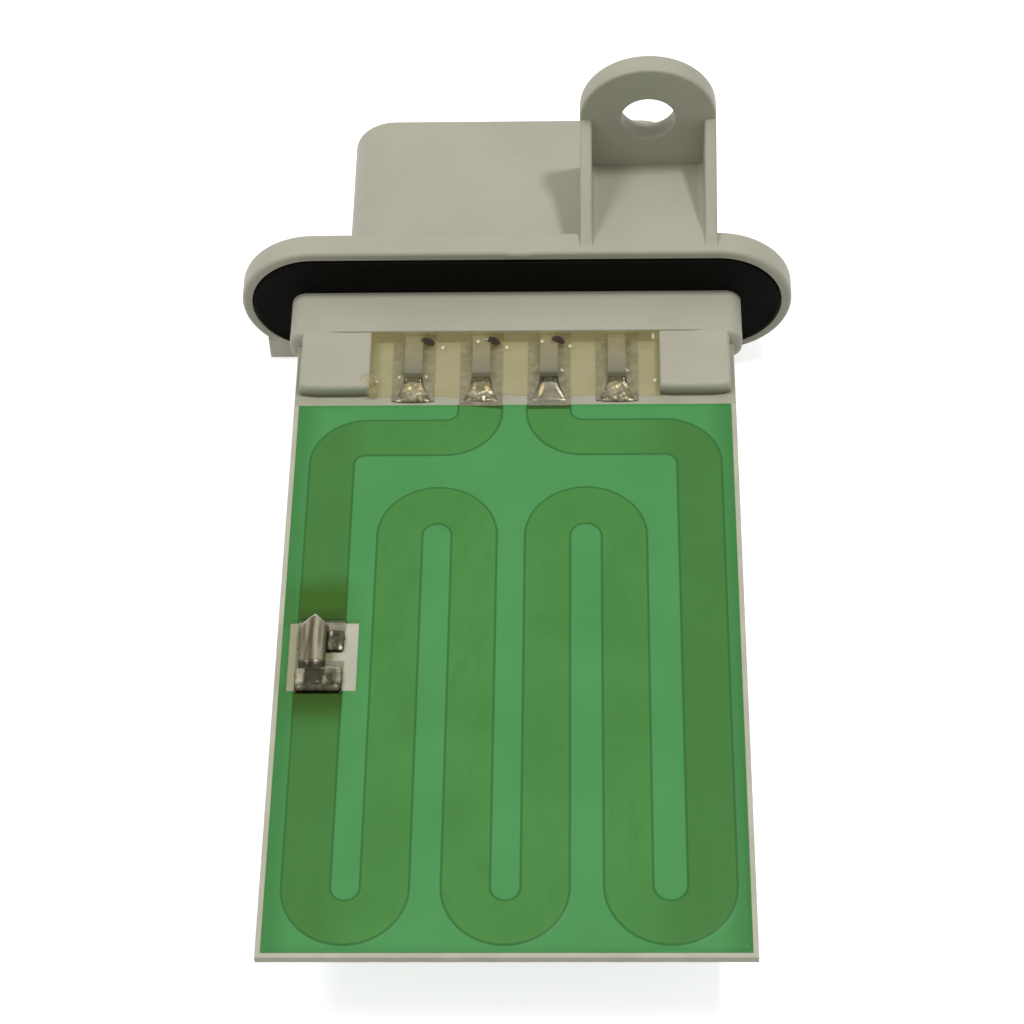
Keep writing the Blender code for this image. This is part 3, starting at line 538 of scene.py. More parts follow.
def ceramic_finish():
    """Fired alumina: warm off-white with clouds, pinholes and a sandy grain.

    Flux stains the face in the fuse's window; the bare strip above the glaze has painted shade.
    """
    finish = Finish("ceramic", shade(184, 184, 170), 0.6, specular=0.35)
    _, _, low, high = WINDOW
    cloud = finish.noise(3.0, 3.0)
    pits = finish.noise(0.16, 1.0, shift=3.0).between(0.68, 0.78)
    face = finish.z.between(0.3, 0.38)
    finish.blend(cloud.between(0.35, 0.7), (184, 182, 162), (194, 192, 172))
    finish.paint(pits * 0.4, 140, 138, 120)
    flux = (finish.x + finish.noise(1.2, 3.0, shift=2.0)).between(-13.9, -14.9)
    flux = flux * (0.35 + 0.65 * finish.x.between(-19.6, -19.3))
    window = finish.y.within(low - 0.5, low - 0.1, high - 0.2, high + 0.2)
    finish.paint(flux * window * face * 0.75, 150, 146, 108)
    # painted shade of the arms on the bare strip above the glaze
    finish.paint(finish.y.between(GLAZE_TOP - 0.2, GLAZE_TOP + 0.2) * face * 0.45, 142, 143, 122)
    finish.relief(finish.noise(0.12, 2.0) * 0.01)
    return finish.material


def glaze_colours(finish, track):
    """Green over ceramic, darker over the track, with a thin dark line where the glaze drapes."""
    cloud = finish.noise(9.0, 3.0, shift=7.0).between(0.3, 0.7)
    streak = finish.noise(1.1, 4.0, 0.65, (1.0, 0.35, 1.0), 3.0).between(0.45, 0.8)
    finish.blend(cloud, (76, 147, 81), (81, 152, 87))
    finish.paint(abs(finish.x).between(16.8, 19.4) * 0.8, 64, 127, 66)
    open_tone = finish.tone
    finish.blend(cloud, (73, 134, 64), (78, 141, 71))
    finish.paint(abs(finish.x + 0.3).between(11.5, 15.0) * 0.75, 68, 122, 57)
    finish.paint(streak * 0.35, 64, 121, 54)
    finish.colour(finish.mix(track.between(0.1, -0.1), open_tone, finish.tone))
    finish.paint(track.stripe(-0.02, 0.16) * 0.7, 42, 96, 40)


def pad_shadows(finish):
    """The tinned pads of the two middle terminals show dark through the glaze's upper edge."""
    first, second = (abs(finish.x - x).between(2.02, 1.9) for x in TERMINALS[1:3])
    first = first * (finish.y + finish.x * 0.15).between(-13.42, -13.2)
    second = second * finish.y.between(-13.2, -13.05)
    finish.paint((first + second) * 0.9, 48, 78, 30)


def burn_marks(finish):
    """Scorched flux round the fuse's window, darkest beside its pads and fading along the leg."""
    _, _, low, high = WINDOW
    ragged = finish.noise(1.6, 4.0, 0.6, shift=11.0) - 0.5
    mottle = finish.noise(0.7, 4.0, 0.65, shift=3.0)
    across = finish.x - LEGS[0]
    y = finish.y + ragged * 1.4
    leg = abs(across).between(2.2, 1.95)
    left = across.between(-1.9, -2.1) * 0.35
    right = across.between(4.2, 2.1) * across.between(1.9, 2.1) * 0.2
    above = finish.y.between(high - 0.8, high - 0.1)
    below = finish.y.between(low + 1.1, low + 0.1)
    wide = y.between(high + 5.6, high + 2.4) * above + y.between(low - 5.2, low - 0.8) * below
    near = y.between(high + 1.8, high + 0.2) * above + y.between(low - 3.1, low - 0.9) * below
    finish.paint(wide * (leg + left + right) * (0.62 + mottle * 0.3), 54, 88, 8)
    finish.paint(near * leg * 0.6, 44, 68, 6)
    # painted shadow of the lower solder joint along the window's lower edge
    shadow_below_joint = finish.y.within(low - 0.6, low - 0.3, low + 0.1, low + 0.2)
    finish.paint(shadow_below_joint * abs(across).between(2.15, 1.95), 9, 9, 0)


def glaze_finish(name, front):
    """Green glassy overglaze. The mark track is the distance outside the printed track's edge."""
    finish = Finish(name, shade(74, 150, 83), 0.34, specular=0.15)
    glaze_colours(finish, finish.attribute("track"))
    if front:
        pad_shadows(finish)
        burn_marks(finish)
    orange_peel = finish.noise(0.9, 3.0, 0.6, shift=1.5)
    finish.put("Roughness", 0.34 + orange_peel * 0.12)
    finish.relief(orange_peel * 0.02 + finish.noise(0.15, 1.0) * 0.003)
    return finish.material


def print_finish():
    """Fired resistor paste: dark green-grey and slightly grainy."""
    finish = Finish("resistor_print", shade(62, 90, 60), 0.5)
    grain = finish.noise(0.3, 3.0)
    finish.blend(grain, (50, 78, 48), (74, 102, 70))
    finish.relief(grain * 0.01)
    return finish.material


def pad_finish():
    """Tinned silver print: dull, warm and slightly lumpy, with painted shadow below the fuse."""
    finish = Finish("conductor_print", shade(140, 137, 120), 0.42, 0.6)
    lump = finish.noise(0.7, 3.0)
    finish.blend(lump.between(0.3, 0.7), (116, 111, 94), (140, 135, 116))
    # painted shadow below the fuse's lower joint
    finish.paint(finish.y.between(WINDOW[2] + 0.3, WINDOW[2] + 0.1) * 0.95, 24, 20, 3)
    finish.put("Roughness", 0.36 + lump * 0.2)
    finish.relief(lump * 0.05)
    return finish.material


def terminal_finish():
    """Tinned copper alloy with rolling lines, brassy in places. Flux dulls the soldered tongues."""
    finish = Finish("terminal_metal", shade(196, 190, 170), 0.3, 0.85)
    line = finish.noise(0.25, 2.0, 0.5, (1.0, 0.08, 1.0))
    tint = finish.noise(2.0, 2.0, shift=6.0).between(0.45, 0.75)
    finish.blend(line, (172, 166, 146), (204, 198, 180))
    finish.paint(tint * 0.4, 190, 176, 132)
    bare = finish.tone
    finish.blend(finish.y.between(-6.2, -8.6), (142, 132, 112), (106, 108, 104))
    finish.paint(line * 0.4, 124, 121, 110)
    finish.colour(finish.mix(finish.y.between(NECK_END, NECK_END - 0.3), bare, finish.tone))
    # painted shade on the tongue's tip
    finish.paint(finish.tip_shade() * 0.95, 58, 58, 50)
    finish.put("Roughness", 0.3 + line * 0.14)
    finish.relief(line * 0.01)
    return finish.material


def clip_finish():
    """Tarnished spring strip: silver bands along it, browned where it ran hot.

    Its ridge and upper end have painted highlights; the mark cut is the distance from that end.
    Two glints sit on its step, which has painted shade, as has its right side.
    """
    finish = Finish("fuse_strip", shade(150, 144, 130), 0.3, 0.9)
    along = finish.noise(0.42, 3.0, 0.55, (1.0, 0.1, 0.3), 2.0)
    patch = finish.noise(1.1, 3.0, shift=5.0)
    u = (finish.x - CLIP_X) / CLIP_HALF
    # brown in the groove and at the left edge where it ran hot; down the right side, painted shade
    brown_and_side_shade = u.stripe(-0.13, 0.24) + u.between(0.5, 0.95) + u.between(-0.8, -1.0)
    finish.blend(along.between(0.35, 0.65), (98, 93, 74), (138, 133, 113))
    # painted highlight along the strip's ridge
    finish.paint(u.stripe(0.24, 0.2) * 0.3, 160, 158, 142)
    finish.paint(brown_and_side_shade * (0.4 + patch * 0.5), 70, 60, 36)
    # painted shade on the step below the strip's bend, left out at two glints
    step = finish.y.within(-42.0, -41.8, -40.65, -40.5) * (1 - finish.spots(STEP_GLINTS))
    finish.paint(step * (0.6 + patch * 0.4), 42, 40, 29)
    # painted highlight along the strip's upper end
    rim = finish.attribute("cut").between(0.34, 0.1)
    finish.paint(rim * (0.35 + patch.between(0.35, 0.6) * 0.65), 236, 234, 222)
    finish.put("Roughness", 0.24 + along * 0.2)
    finish.relief(along * 0.03)
    return finish.material


def solder_finish():
    """Dull warm solder with gold and white glints, and a crinkled rim at the joints' lower ends."""
    finish = Finish("solder", shade(140, 134, 112), 0.3, 1.0)
    cloud = finish.noise(1.1, 2.0, shift=4.0)
    crinkle = finish.noise(0.38, 2.0, 0.5, twist=0.4)
    third = abs(finish.x - TERMINALS[2]).between(1.9, 1.6)
    rim = finish.y.between(-11.35, -11.75) * (1 - third * 0.7)
    finish.blend(cloud.between(0.35, 0.65), (112, 106, 84), (150, 143, 118))
    finish.paint(third * 0.6, 122, 121, 106)
    finish.paint(rim * crinkle.between(0.46, 0.56) * 0.6, 46, 42, 28)
    finish.paint(finish.spots(GOLD_GLINTS) * 0.75, 240, 216, 150)
    finish.paint(finish.spots(WHITE_GLINTS), 252, 244, 218)
    # painted shade on the solder at the tongue's tip
    finish.paint(finish.tip_shade() * 0.92, 38, 38, 32)
    finish.put("Roughness", 0.26 + cloud * 0.12)
    finish.relief(rim * crinkle * 0.035 + cloud * 0.01)
    return finish.material


def fuse_solder_finish():
    """The fuse's solder: smooth grey, pale rim, burnt pools, flux and painted shade at its foot."""
    finish = Finish("fuse_solder", shade(140, 136, 118), 0.36, 0.75)
    lump = finish.noise(0.8, 2.0, 0.5, twist=0.3)
    fine = finish.noise(0.3, 2.0, 0.5, shift=3.0)
    waver = (lump - 0.5) * 0.5
    x, y = finish.x + waver, finish.y + waver
    finish.blend(lump.between(0.4, 0.62), (78, 76, 60), (132, 127, 104))
    left = x.between(-17.35, -17.6) * y.between(-40.2, -40.5)
    finish.paint(left * 0.7, 162, 158, 138)
    # painted shade darkens the block towards its foot
    foot = y.between(-42.4, -42.8)
    finish.paint(foot * (0.75 + fine.between(0.5, 0.35) * 0.2), 44, 42, 29)
    rim = x.between(-14.75, -14.5) + x.between(-15.7, -15.4) * y.within(-41.25, -41.0, -40.6, -40.3)
    finish.paint(rim * (1 - foot * 0.8) * (0.3 + fine * 0.6), 160, 153, 130)
    pool = x.within(-17.55, -17.3, -15.9, -15.65) * y.within(-42.95, -42.65, -41.4, -41.1)
    gleam = fine.between(0.5, 0.62) * y.within(-43.0, -42.8, -42.3, -42.0)
    upper = y.between(-40.2, -40.0) * finish.spot(*UPPER_POOL)
    burnt = pool * (1 - gleam * 0.5) * 0.92 + finish.spot(*RIGHT_POOL) * 0.62 + upper * 0.8
    finish.paint(burnt, 44, 43, 29)
    finish.paint(finish.spots(FUSE_GLINTS) + finish.spot(*FUSE_SHEEN) * 0.5, 226, 222, 204)
    # the lowest sides darken: flux at left and right, painted shade along the front
    finish.paint(finish.z.between(0.86, 0.66) * 0.95, 24, 19, 3)
    finish.put("Roughness", 0.34 + lump * 0.1)
    finish.relief(fine * 0.012)
    return finish.material


def resin_finish():
    """Clear yellowish resin: thicker by the neck and arms and clearer over the tongues' tips.

    Its dark voids and its gleams lie on the upper surface alone.
    """
    finish = Finish("resin", shade(216, 207, 144), 0.08, specular=0.35, alpha=0.23)
    cloud = finish.noise(1.6, 3.0)
    by_arms = abs(finish.x).between(ARM_INNER - 0.9, ARM_INNER - 0.1) * 0.6
    thick = finish.y.between(-6.1, -5.4) + by_arms
    clear = sum(abs(finish.x - x).between(1.9, 1.3) * share
                for x, share in zip(TERMINALS, TIP_CLEARNESS))
    surface = finish.z.between(0.43, 0.5)
    voids = finish.spots(VOIDS).between(0.15, 0.85) * surface
    gleam = finish.spots(RESIN_GLINTS) * surface
    finish.blend(cloud.between(0.3, 0.7), (203, 193, 127), (212, 202, 142))
    finish.paint(thick * 0.6, 206, 194, 130)
    finish.paint(voids, 46, 32, 0)
    finish.paint(gleam, 255, 252, 238)
    alpha = 0.21 + cloud * 0.04 + thick * 0.09 - clear * finish.y.between(-8.6, -9.2)
    finish.put("Alpha", alpha + voids * (1.0 - alpha) + gleam * 0.45)
    finish.relief(finish.noise(1.3, 2.0, shift=2.0) * 0.02)
    return finish.material


# Housing and gasket

def flange_skin():
    """A slot-shaped plate. Its course runs from the gasket's recess over the rim and both edges.

    A hump sinks the moulding gate's mark into the front of the rim.
    """
    inset, height = edge_course(0.0, FLANGE_TOP, 0.38, 0.4, 8)
    lip = GASKET_INSET - 0.12
    inset = np.r_[lip + 0.5, lip, lip, lip - BAND, inset]
    height = np.r_[RECESS, RECESS, BAND, 0.0, height]
    outline = round_outline(FLANGE_HALF, FLANGE_DEPTH, FLANGE_DEPTH, inset, 24, 40)
    points = placed(outline, height, "Y")
    front = (points[..., 2] > FLANGE_DEPTH - 0.6) & (points[..., 1] < 1.0)
    gate = 0.12 * bell(points[..., 0], 0.45, 1.1, 4) * front
    points[..., 1] -= gate * 0.8
    points[..., 2] -= gate * 0.3
    return capped(points)


def neck_ring(shrink):
    """Round the neck's outside: along the front past each channel's sides, round two corners at
    one end, and so again along the back."""
    sides = np.sort(np.add.outer(TERMINALS, [-1.1, 2.0]).ravel())
    stops = np.repeat(sides, 2)[::-1]
    turn = np.radians(np.linspace(90, 270, SIDE_STEPS))
    over = np.where(np.arange(SIDE_STEPS) < 10, 1.0, -1.0)
    left_x = -(NECK_HALF - NECK_CORNER) + (NECK_CORNER - shrink) * np.cos(turn)
    left_z = over * (NECK_DEPTH - NECK_CORNER) + (NECK_CORNER - shrink) * np.sin(turn)
    flat = np.full(stops.size, NECK_DEPTH - shrink)
    return np.c_[np.r_[stops, left_x, stops[::-1], -left_x], np.r_[flat, left_z, -flat, -left_z]]


def slot_ring(grow):
    """Round the opening in the neck's end: the board's slot, with a deeper channel at each
    terminal. Each point is beside its partner on the neck's outside."""
    stops = 4 * len(TERMINALS)
    front = neck_ring(0.0)[:stops, 0]
    depths = [SLOT_DEPTH, CHANNEL_DEPTH, CHANNEL_DEPTH, SLOT_DEPTH]
    steps = np.tile(depths, len(TERMINALS)) + grow
    side = np.linspace(1, -1, SIDE_STEPS) * (SLOT_DEPTH + grow)
    shift = np.tile([1, 1, -1, -1], len(TERMINALS)) * grow
    edge = np.full(SIDE_STEPS, SLOT_HALF + grow)
    x = np.r_[front + shift, -edge, front[::-1] - shift, edge]
    return np.c_[x, np.r_[steps, side, -steps, -side]]


def neck_skin():
    """Down the outside to the lower end, round its edge, across the end face and up the slot."""
    edge = 0.16
    rise = np.r_[6.15, 4.9, 2.4, edge * fillet(6)[0]]
    outside = [placed(neck_ring(shrink)[None], [NECK_END + up], "Y")
               for shrink, up in zip(rounding(rise, edge), rise)]
    inside = [placed(slot_ring(grow)[None], [y], "Y")
              for grow, y in ((0.05, NECK_END), (0.0, NECK_END + BAND), (0.0, 1.1))]
    return capped(np.concatenate(outside + inside))


def cheek_skins():
    """The neck's two round sides, carried on past the board's shoulders.

    Their width and depth fall by a quarter ellipse towards the end. The sections are half-rounds.
    """
    bend, length, inner = 0.5, 1.3, 17.5
    rise = length * fillet(14)[0][:, None]
    half = NECK_HALF + 0.005 - rounding(rise, bend) * 1.7
    depth = NECK_DEPTH + 0.004 - rounding(rise, bend) * 2.0
    turn = np.radians(np.linspace(90, -90, 31))[None, :]
    over = np.sign(np.linspace(1, -1, 31))[None, :]
    x = half - NECK_CORNER + NECK_CORNER * np.cos(turn)
    z = over * (depth - NECK_CORNER) + NECK_CORNER * np.sin(turn)
    x = np.c_[np.full_like(rise, inner), x, np.full_like(rise, inner)]
    z = np.c_[depth, z, -depth]
    height = NECK_END - bend + rise[:, 0]
    return [capped(placed(np.stack([side * x, z], -1), height, "Y")) for side in (-1, 1)]


def arm_skins():
    """Four plates that hold the board's edges: sheets of heights that drop by quarter circles at
    their edges. Near the neck an arm's outer part rises gently to the neck's height."""
    v, u = np.linspace(0, 1, 71)[:, None], np.linspace(0, 1, 61)[None, :]
    root = NECK_END + 0.6
    end = ARM_END + 0.3 * u ** 9 + 0.12 * (1 - u) ** 14
    y = root + (end - root) * v
    x = np.broadcast_to(ARM_INNER + (ARM_OUTER - ARM_INNER) * u, y.shape)
    near = np.clip((y - NECK_END + 1.6) / 1.5, 0, 1)
    outer = np.clip((u - 0.4) / 0.4, 0, 1)
    top = ARM_TOP + (NECK_DEPTH + 0.014 - ARM_TOP) * eased(near) * eased(outer)
    top = top - rounding(ARM_OUTER - x, 0.4) - rounding(x - ARM_INNER, 0.1) - rounding(y - end, 0.5)
    low = BOARD_FACE + 0.15
    return [sheet(side * x, y, face * top, face * low) for side in (-1, 1) for face in (-1, 1)]


def socket_skin():
    """Up the outside from a hollow fillet on the flange, over the rim, and down to the floor."""
    foot, rim, lip, floor = 0.5, 0.3, 0.25, 0.4
    fall, climb = fillet(6)
    inset = np.r_[-foot, -foot * fall, rim * climb, SOCKET_WALL - lip * (1 - fall[::-1]),
                  SOCKET_WALL + 0.1 + floor * climb, SOCKET_WALL + 0.6 + floor]
    height = np.r_[1.25, FLANGE_TOP + foot * climb, SOCKET_RIM - rim * fall,
                   SOCKET_RIM - lip * climb, SOCKET_FLOOR + floor * fall, SOCKET_FLOOR]
    outline = round_outline(SOCKET_HALF, SOCKET_DEPTH, SOCKET_CORNER, inset, 14, 12)
    return capped(placed(outline, height, "Y"))


def bracket_section(top, wall):
    """Across both ribs and the wall between them, with round tips and hollow corners."""
    rise, wall = (top - wall)[:, None], wall[:, None]
    tip, hollow = np.minimum(0.3, rise * 0.4), np.minimum(0.6, rise * 0.5)
    fall, climb = fillet(5)
    edge = np.full_like(rise, -TAB_RADIUS)
    x = np.c_[edge, edge + tip * climb, edge + RIB - tip * fall, edge + RIB + hollow * climb]
    z = np.c_[np.full_like(rise, BURIED), wall + rise - tip * fall, wall + rise - tip * climb,
              wall + hollow * fall]
    left = np.stack([x, z], -1)
    return np.concatenate([left, left[:, ::-1] * [-1, 1]], 1)


def bracket_skin():
    """The section carried up from the flange's rim while the ribs ease into a straight rise."""
    y = np.linspace(RIB_FOOT, TAB_LOW + 0.1, 60)
    wall = FLANGE_DEPTH + np.interp(y, [RIB_FOOT, RIB_FOOT + 1.0], [-0.05, 0.012])
    up, lead = y - RIB_FOOT, 0.7
    slope = (TAB_Z - FLANGE_DEPTH) / (TAB_LOW - RIB_FOOT - lead / 2)
    top = wall + slope * np.where(up < lead, up ** 2 / (2 * lead), up - lead / 2)
    return capped(placed(bracket_section(np.minimum(top, TAB_Z), wall), y, "Y", (TAB_X, 0.0)))


def tab_skin():
    """A plate with a round end about its screw hole, and slightly rough lower edges.

    Each ring is a distance from the hole's middle at every angle. Quarter circles ease the edges.
    """
    angle = np.linspace(0, 2 * math.pi, 121)[:-1]
    edge, lip = 0.25, 0.12
    fall, climb = fillet(5)
    flash = 0.05 * np.maximum(ripple(angle * 6, 2.0), 0) * (np.cos(angle - 4.4) > 0)
    rough = edge + 0.05 * ripple(angle * 7, 1.0)

    def outer(inset):
        """The plate's edge: a half circle above, and straight sides down to a buried foot."""
        side = (TAB_RADIUS - inset) / np.maximum(np.abs(np.cos(angle)), 1e-6)
        foot = (TAB_Z - BURIED) / np.maximum(-np.sin(angle), 1e-6)
        return np.where(np.sin(angle) >= 0, TAB_RADIUS - inset, np.minimum(side, foot))

    def hole(inset):
        """The screw hole's edge: the same distance at every angle."""
        return HOLE_RADIUS + inset + 0 * angle

    rings = ((hole(lip * fall[::-1, None]) - flash, TAB_LOW + lip * climb[::-1]),
             (hole(lip + BAND), TAB_LOW),
             (outer(rough + BAND), TAB_LOW),
             (outer(rough * fall[:, None]), TAB_LOW + edge * climb),
             (outer(edge * climb[:, None]), TAB_HIGH - edge * fall),
             (outer(edge + BAND), TAB_HIGH),
             (hole(lip + BAND), TAB_HIGH),
             (hole(lip * fall[:, None]), TAB_HIGH - lip * climb))
    distance = np.concatenate([np.atleast_2d(ring) for ring, _ in rings])
    height = np.concatenate([np.atleast_1d(y) for _, y in rings])
    outline = np.stack([distance * np.cos(angle), distance * np.sin(angle)], -1)
    return hoop(placed(outline, height, "Y", (TAB_X, TAB_Z)))


def latch_skin():
    """A catch for the plug on the back wall: a wedge carried across, drawn in at both ends."""
    profile = np.array([[9.0, -4.0], [13.5, -4.0], [13.5, -4.75],
                        [10.3, -5.85], [9.15, -5.9], [9.0, -5.75]])
    middle = profile.mean(0)
    shares = np.array([0.96, 1.0, 1.0, 0.96])[:, None, None]
    return capped(placed(middle + (profile - middle) * shares, [-3.0, -2.92, 2.92, 3.0], "X"))


def lug_skin():
    """A four-sided profile carried through the flange. Its upper side lies in the round end."""
    profile = np.array([[-23.6, -7.65], [-19.6, -7.65], [-19.6, -6.6], [-23.6, -4.8]])
    front, back = 0.06, 0.15
    rows = drawn_in(profile, [[front], [0.0], [0.0], [back]])
    return capped(placed(rows, [-0.02, front - 0.02, FLANGE_TOP - back, FLANGE_TOP], "Y"))


def make_housing(plastic):
    """One moulding from overlapping skins."""
    skins = [flange_skin(), neck_skin(), *cheek_skins(), *arm_skins(), socket_skin(),
             bracket_skin(), tab_skin(), latch_skin(), lug_skin()]
    make_piece("moulded_housing", skins, plastic, "housing")


def make_gasket(rubber):
    """A flat ring between a slot-shaped outline and the neck's, with a low lip along each edge.

    Share runs from the outer outline to the inner one, and height goes with it.
    """
    share = np.array([0.0, 0.0, 0.01, 0.03, 0.07, 0.13, 0.2,
                      0.5, 0.84, 0.92, 0.97, 0.99, 1.0, 1.0])
    height = [1.08, -0.02, -0.14, -0.24, -0.29, -0.24, -0.2,
              -0.2, -0.22, -0.25, -0.27, -0.28, -0.28, 1.08]
    depth = FLANGE_DEPTH - GASKET_INSET
    outer = round_outline(FLANGE_HALF - GASKET_INSET, depth, depth, 0.0, 20, 60)
    inner = round_outline(NECK_HALF - 0.03, NECK_DEPTH - 0.02, NECK_CORNER, 0.0, 20, 60)
    inner[..., 1] += 0.06 * np.maximum(ripple(inner[..., 0], 3.0), 0) * np.sign(inner[..., 1])
    outline = outer + (inner - outer) * share[:, None, None]
    make_piece("gasket_ring", [hoop(placed(outline, height, "Y"))], rubber,
               "gasket")


# Board and print

def make_board(ceramic):
    """The plate's outline with a slight waver from snapping, drawn in a little at both faces."""
    corners = np.array([[-BOARD_HALF, FREE_END], [BOARD_HALF, FREE_END], [BOARD_HALF, SHOULDER],
                        [TENON_HALF, SHOULDER], [TENON_HALF, TENON_TOP], [-TENON_HALF, TENON_TOP],
                        [-TENON_HALF, SHOULDER], [-BOARD_HALF, SHOULDER], [-BOARD_HALF, FREE_END]])
    sides = np.linalg.norm(np.diff(corners, axis=0), axis=1)
    length = np.r_[0, np.cumsum(sides)]
    along = np.concatenate([np.linspace(a, b, max(int((b - a) / 0.7), 2), endpoint=False)
                            for a, b in zip(length, length[1:])])
    outline = np.stack([np.interp(along, length, corners[:, k]) for k in range(2)], -1)
    nick = 0.02 * np.abs(ripple(along * 1.3, 5.0)) + 0.01
    rows = drawn_in(outline, np.array([[BAND], [0.0], [0.0], [BAND]]) + nick)
    height = [-BOARD_FACE, -BOARD_FACE + BAND, BOARD_FACE - BAND, BOARD_FACE]
    make_piece("ceramic_board", [capped(placed(rows, height, "Z"))], ceramic,
               "ceramic_substrate")


def run_distance(x, y, start, end):
    """How far each point is from a straight run between two points."""
    start, end = np.array(start), np.array(end)
    run = end - start
    share = np.clip(((x - start[0]) * run[0] + (y - start[1]) * run[1]) / (run @ run), 0, 1)
    return np.hypot(x - start[0] - share * run[0], y - start[1] - share * run[1])


def bend_distance(x, y, middle, radius, side_x, side_y):
    """How far each point is from an arc, within the arc's own quarter or half; far elsewhere."""
    right, up = x - middle[0], y - middle[1]
    inside = (right * side_x >= 0) & (up * side_y >= 0)
    return np.where(inside, np.abs(np.hypot(right, up) - radius), 99.0)


def outlet_distance(x, y, pad, leg, bend, leg_end):
    """From a terminal's pad down, round a bend, across, round a bend and down the leg."""
    side = 1 if leg > pad else -1
    first, last = pad + side * bend, leg - side * bend
    parts = [run_distance(x, y, (pad, GLAZE_TOP + 3), (pad, CROSSING + bend)),
             bend_distance(x, y, (first, CROSSING + bend), bend, -side, -1),
             run_distance(x, y, (first, CROSSING), (last, CROSSING)),
             bend_distance(x, y, (last, CROSSING - bend), bend, side, 1),
             run_distance(x, y, (leg, CROSSING - bend), (leg, leg_end))]
    return np.minimum.reduce(parts)


def turn_distance(x, y, left, right, half, bottom):
    """A half-circle turn between two legs, at the board's end or at the arches' top."""
    radius = (right - left) / 2
    level = TURN_END + radius + half if bottom else ARCH_TOP - radius - half
    middle = ((left + right) / 2, level)
    return bend_distance(x, y, middle, radius, 0, -1 if bottom else 1), level


def serpentine(x, y, legs, half):
    """The turns between neighbouring legs, the legs between two turns, and each turn's level."""
    parts, levels = [], []
    for number, pair in enumerate(zip(legs, legs[1:])):
        distance, level = turn_distance(x, y, *sorted(pair), half, number % 2 == 0)
        parts.append(distance)
        levels.append(level)
    parts += [run_distance(x, y, (leg, a), (leg, b))
              for leg, a, b in zip(legs[1:-1], levels, levels[1:])]
    return parts, levels


def front_track(x, y):
    """Distance outside the front tracks' edges: the fused track, and the long one's five turns."""
    parts, levels = serpentine(x, y, LEGS, TRACK_HALF)
    parts += [outlet_distance(x, y, TERMINALS[1], LEGS[0], BEND, FUSED_LEG_END),
              run_distance(x, y, (LEGS[0], LONG_LEG_START), (LEGS[0], levels[0])),
              outlet_distance(x, y, TERMINALS[2], LEGS[5], BEND, levels[-1])]
    return np.minimum.reduce(parts) - TRACK_HALF


def back_track(x, y):
    """Distance outside the back tracks' edges: on each side four even legs between two pads."""
    parts = []
    for side in (-1, 1):
        legs = side * np.linspace(BACK_LEG, TERMINALS[2], 4)
        turns, levels = serpentine(x, y, legs, BACK_TRACK_HALF)
        parts += [*turns, outlet_distance(x, y, side * TERMINALS[3], legs[0], BACK_BEND, levels[0]),
                  run_distance(x, y, (legs[3], levels[2]), (legs[3], GLAZE_TOP + 3))]
    return np.minimum.reduce(parts) - BACK_TRACK_HALF


def spaced(stops, step):
    """Places about a step apart from the first stop to the last, finer beside every stop."""
    runs = [np.linspace(a, b, max(int(round((b - a) / step)), 1), endpoint=False)
            for a, b in zip(stops, stops[1:])]
    ends = [stops[-1]] + [stop + side for stop in stops for side in (-0.12, -0.05, 0.05, 0.12)]
    places = np.unique(np.round(np.concatenate(runs + [ends]), 4))
    return places[(places >= stops[0]) & (places <= stops[-1])]


def glaze_skin(distance, side, window):
    """A sheet that steps up gently over the track and rolls off at its own edges.

    Side is 1 on the front and -1 on the back. The skin comes with the track's mark.
    """
    left, right, low, high = window
    xs = spaced([-GLAZE_HALF, left, right, GLAZE_HALF], 0.25)
    ys = spaced([GLAZE_END, low, high, GLAZE_TOP], 0.25)
    y, x = np.meshgrid(ys, xs, indexing="ij")
    track = distance(x, y)
    border = np.minimum.reduce([x - xs[0], xs[-1] - x, y - ys[0], ys[-1] - y])
    if right > left:
        opening = np.maximum.reduce([left - x, x - right, low - y, y - high])
        border = np.minimum(border, opening)
    drape = DRAPE * eased(np.clip((0.3 - track) / 0.5, 0, 1))
    lift = (SHEET_HIGH - FILM_LOW + drape) * eased(np.clip(border / 0.4, 0, 1))
    top = np.stack([x, y, side * (FILM_LOW + lift)], -1)
    under = np.stack([x, y, np.full_like(x, side * (FILM_LOW - 0.04))], -1)
    middle_x, middle_y = (xs[1:] + xs[:-1]) / 2, ((ys[1:] + ys[:-1]) / 2)[:, None]
    kept = ~((middle_x > left) & (middle_x < right) & (middle_y > low) & (middle_y < high))
    skin, used = two_sided(top, under, kept)
    return skin, np.tile(track.ravel(), 2)[used]


def make_glazes():
    """The front sheet with its window, and the whole one on the back."""
    for face, distance, side, window in (("front", front_track, 1, WINDOW),
                                         ("back", back_track, -1, NO_WINDOW)):
        skin, track = glaze_skin(distance, side, window)
        node = f"{face}_overglaze"
        make_piece(f"{face}_glaze", [skin], glaze_finish(node, side > 0), node, 80,
                   {"track": track})


# Resin, solder and the fuse

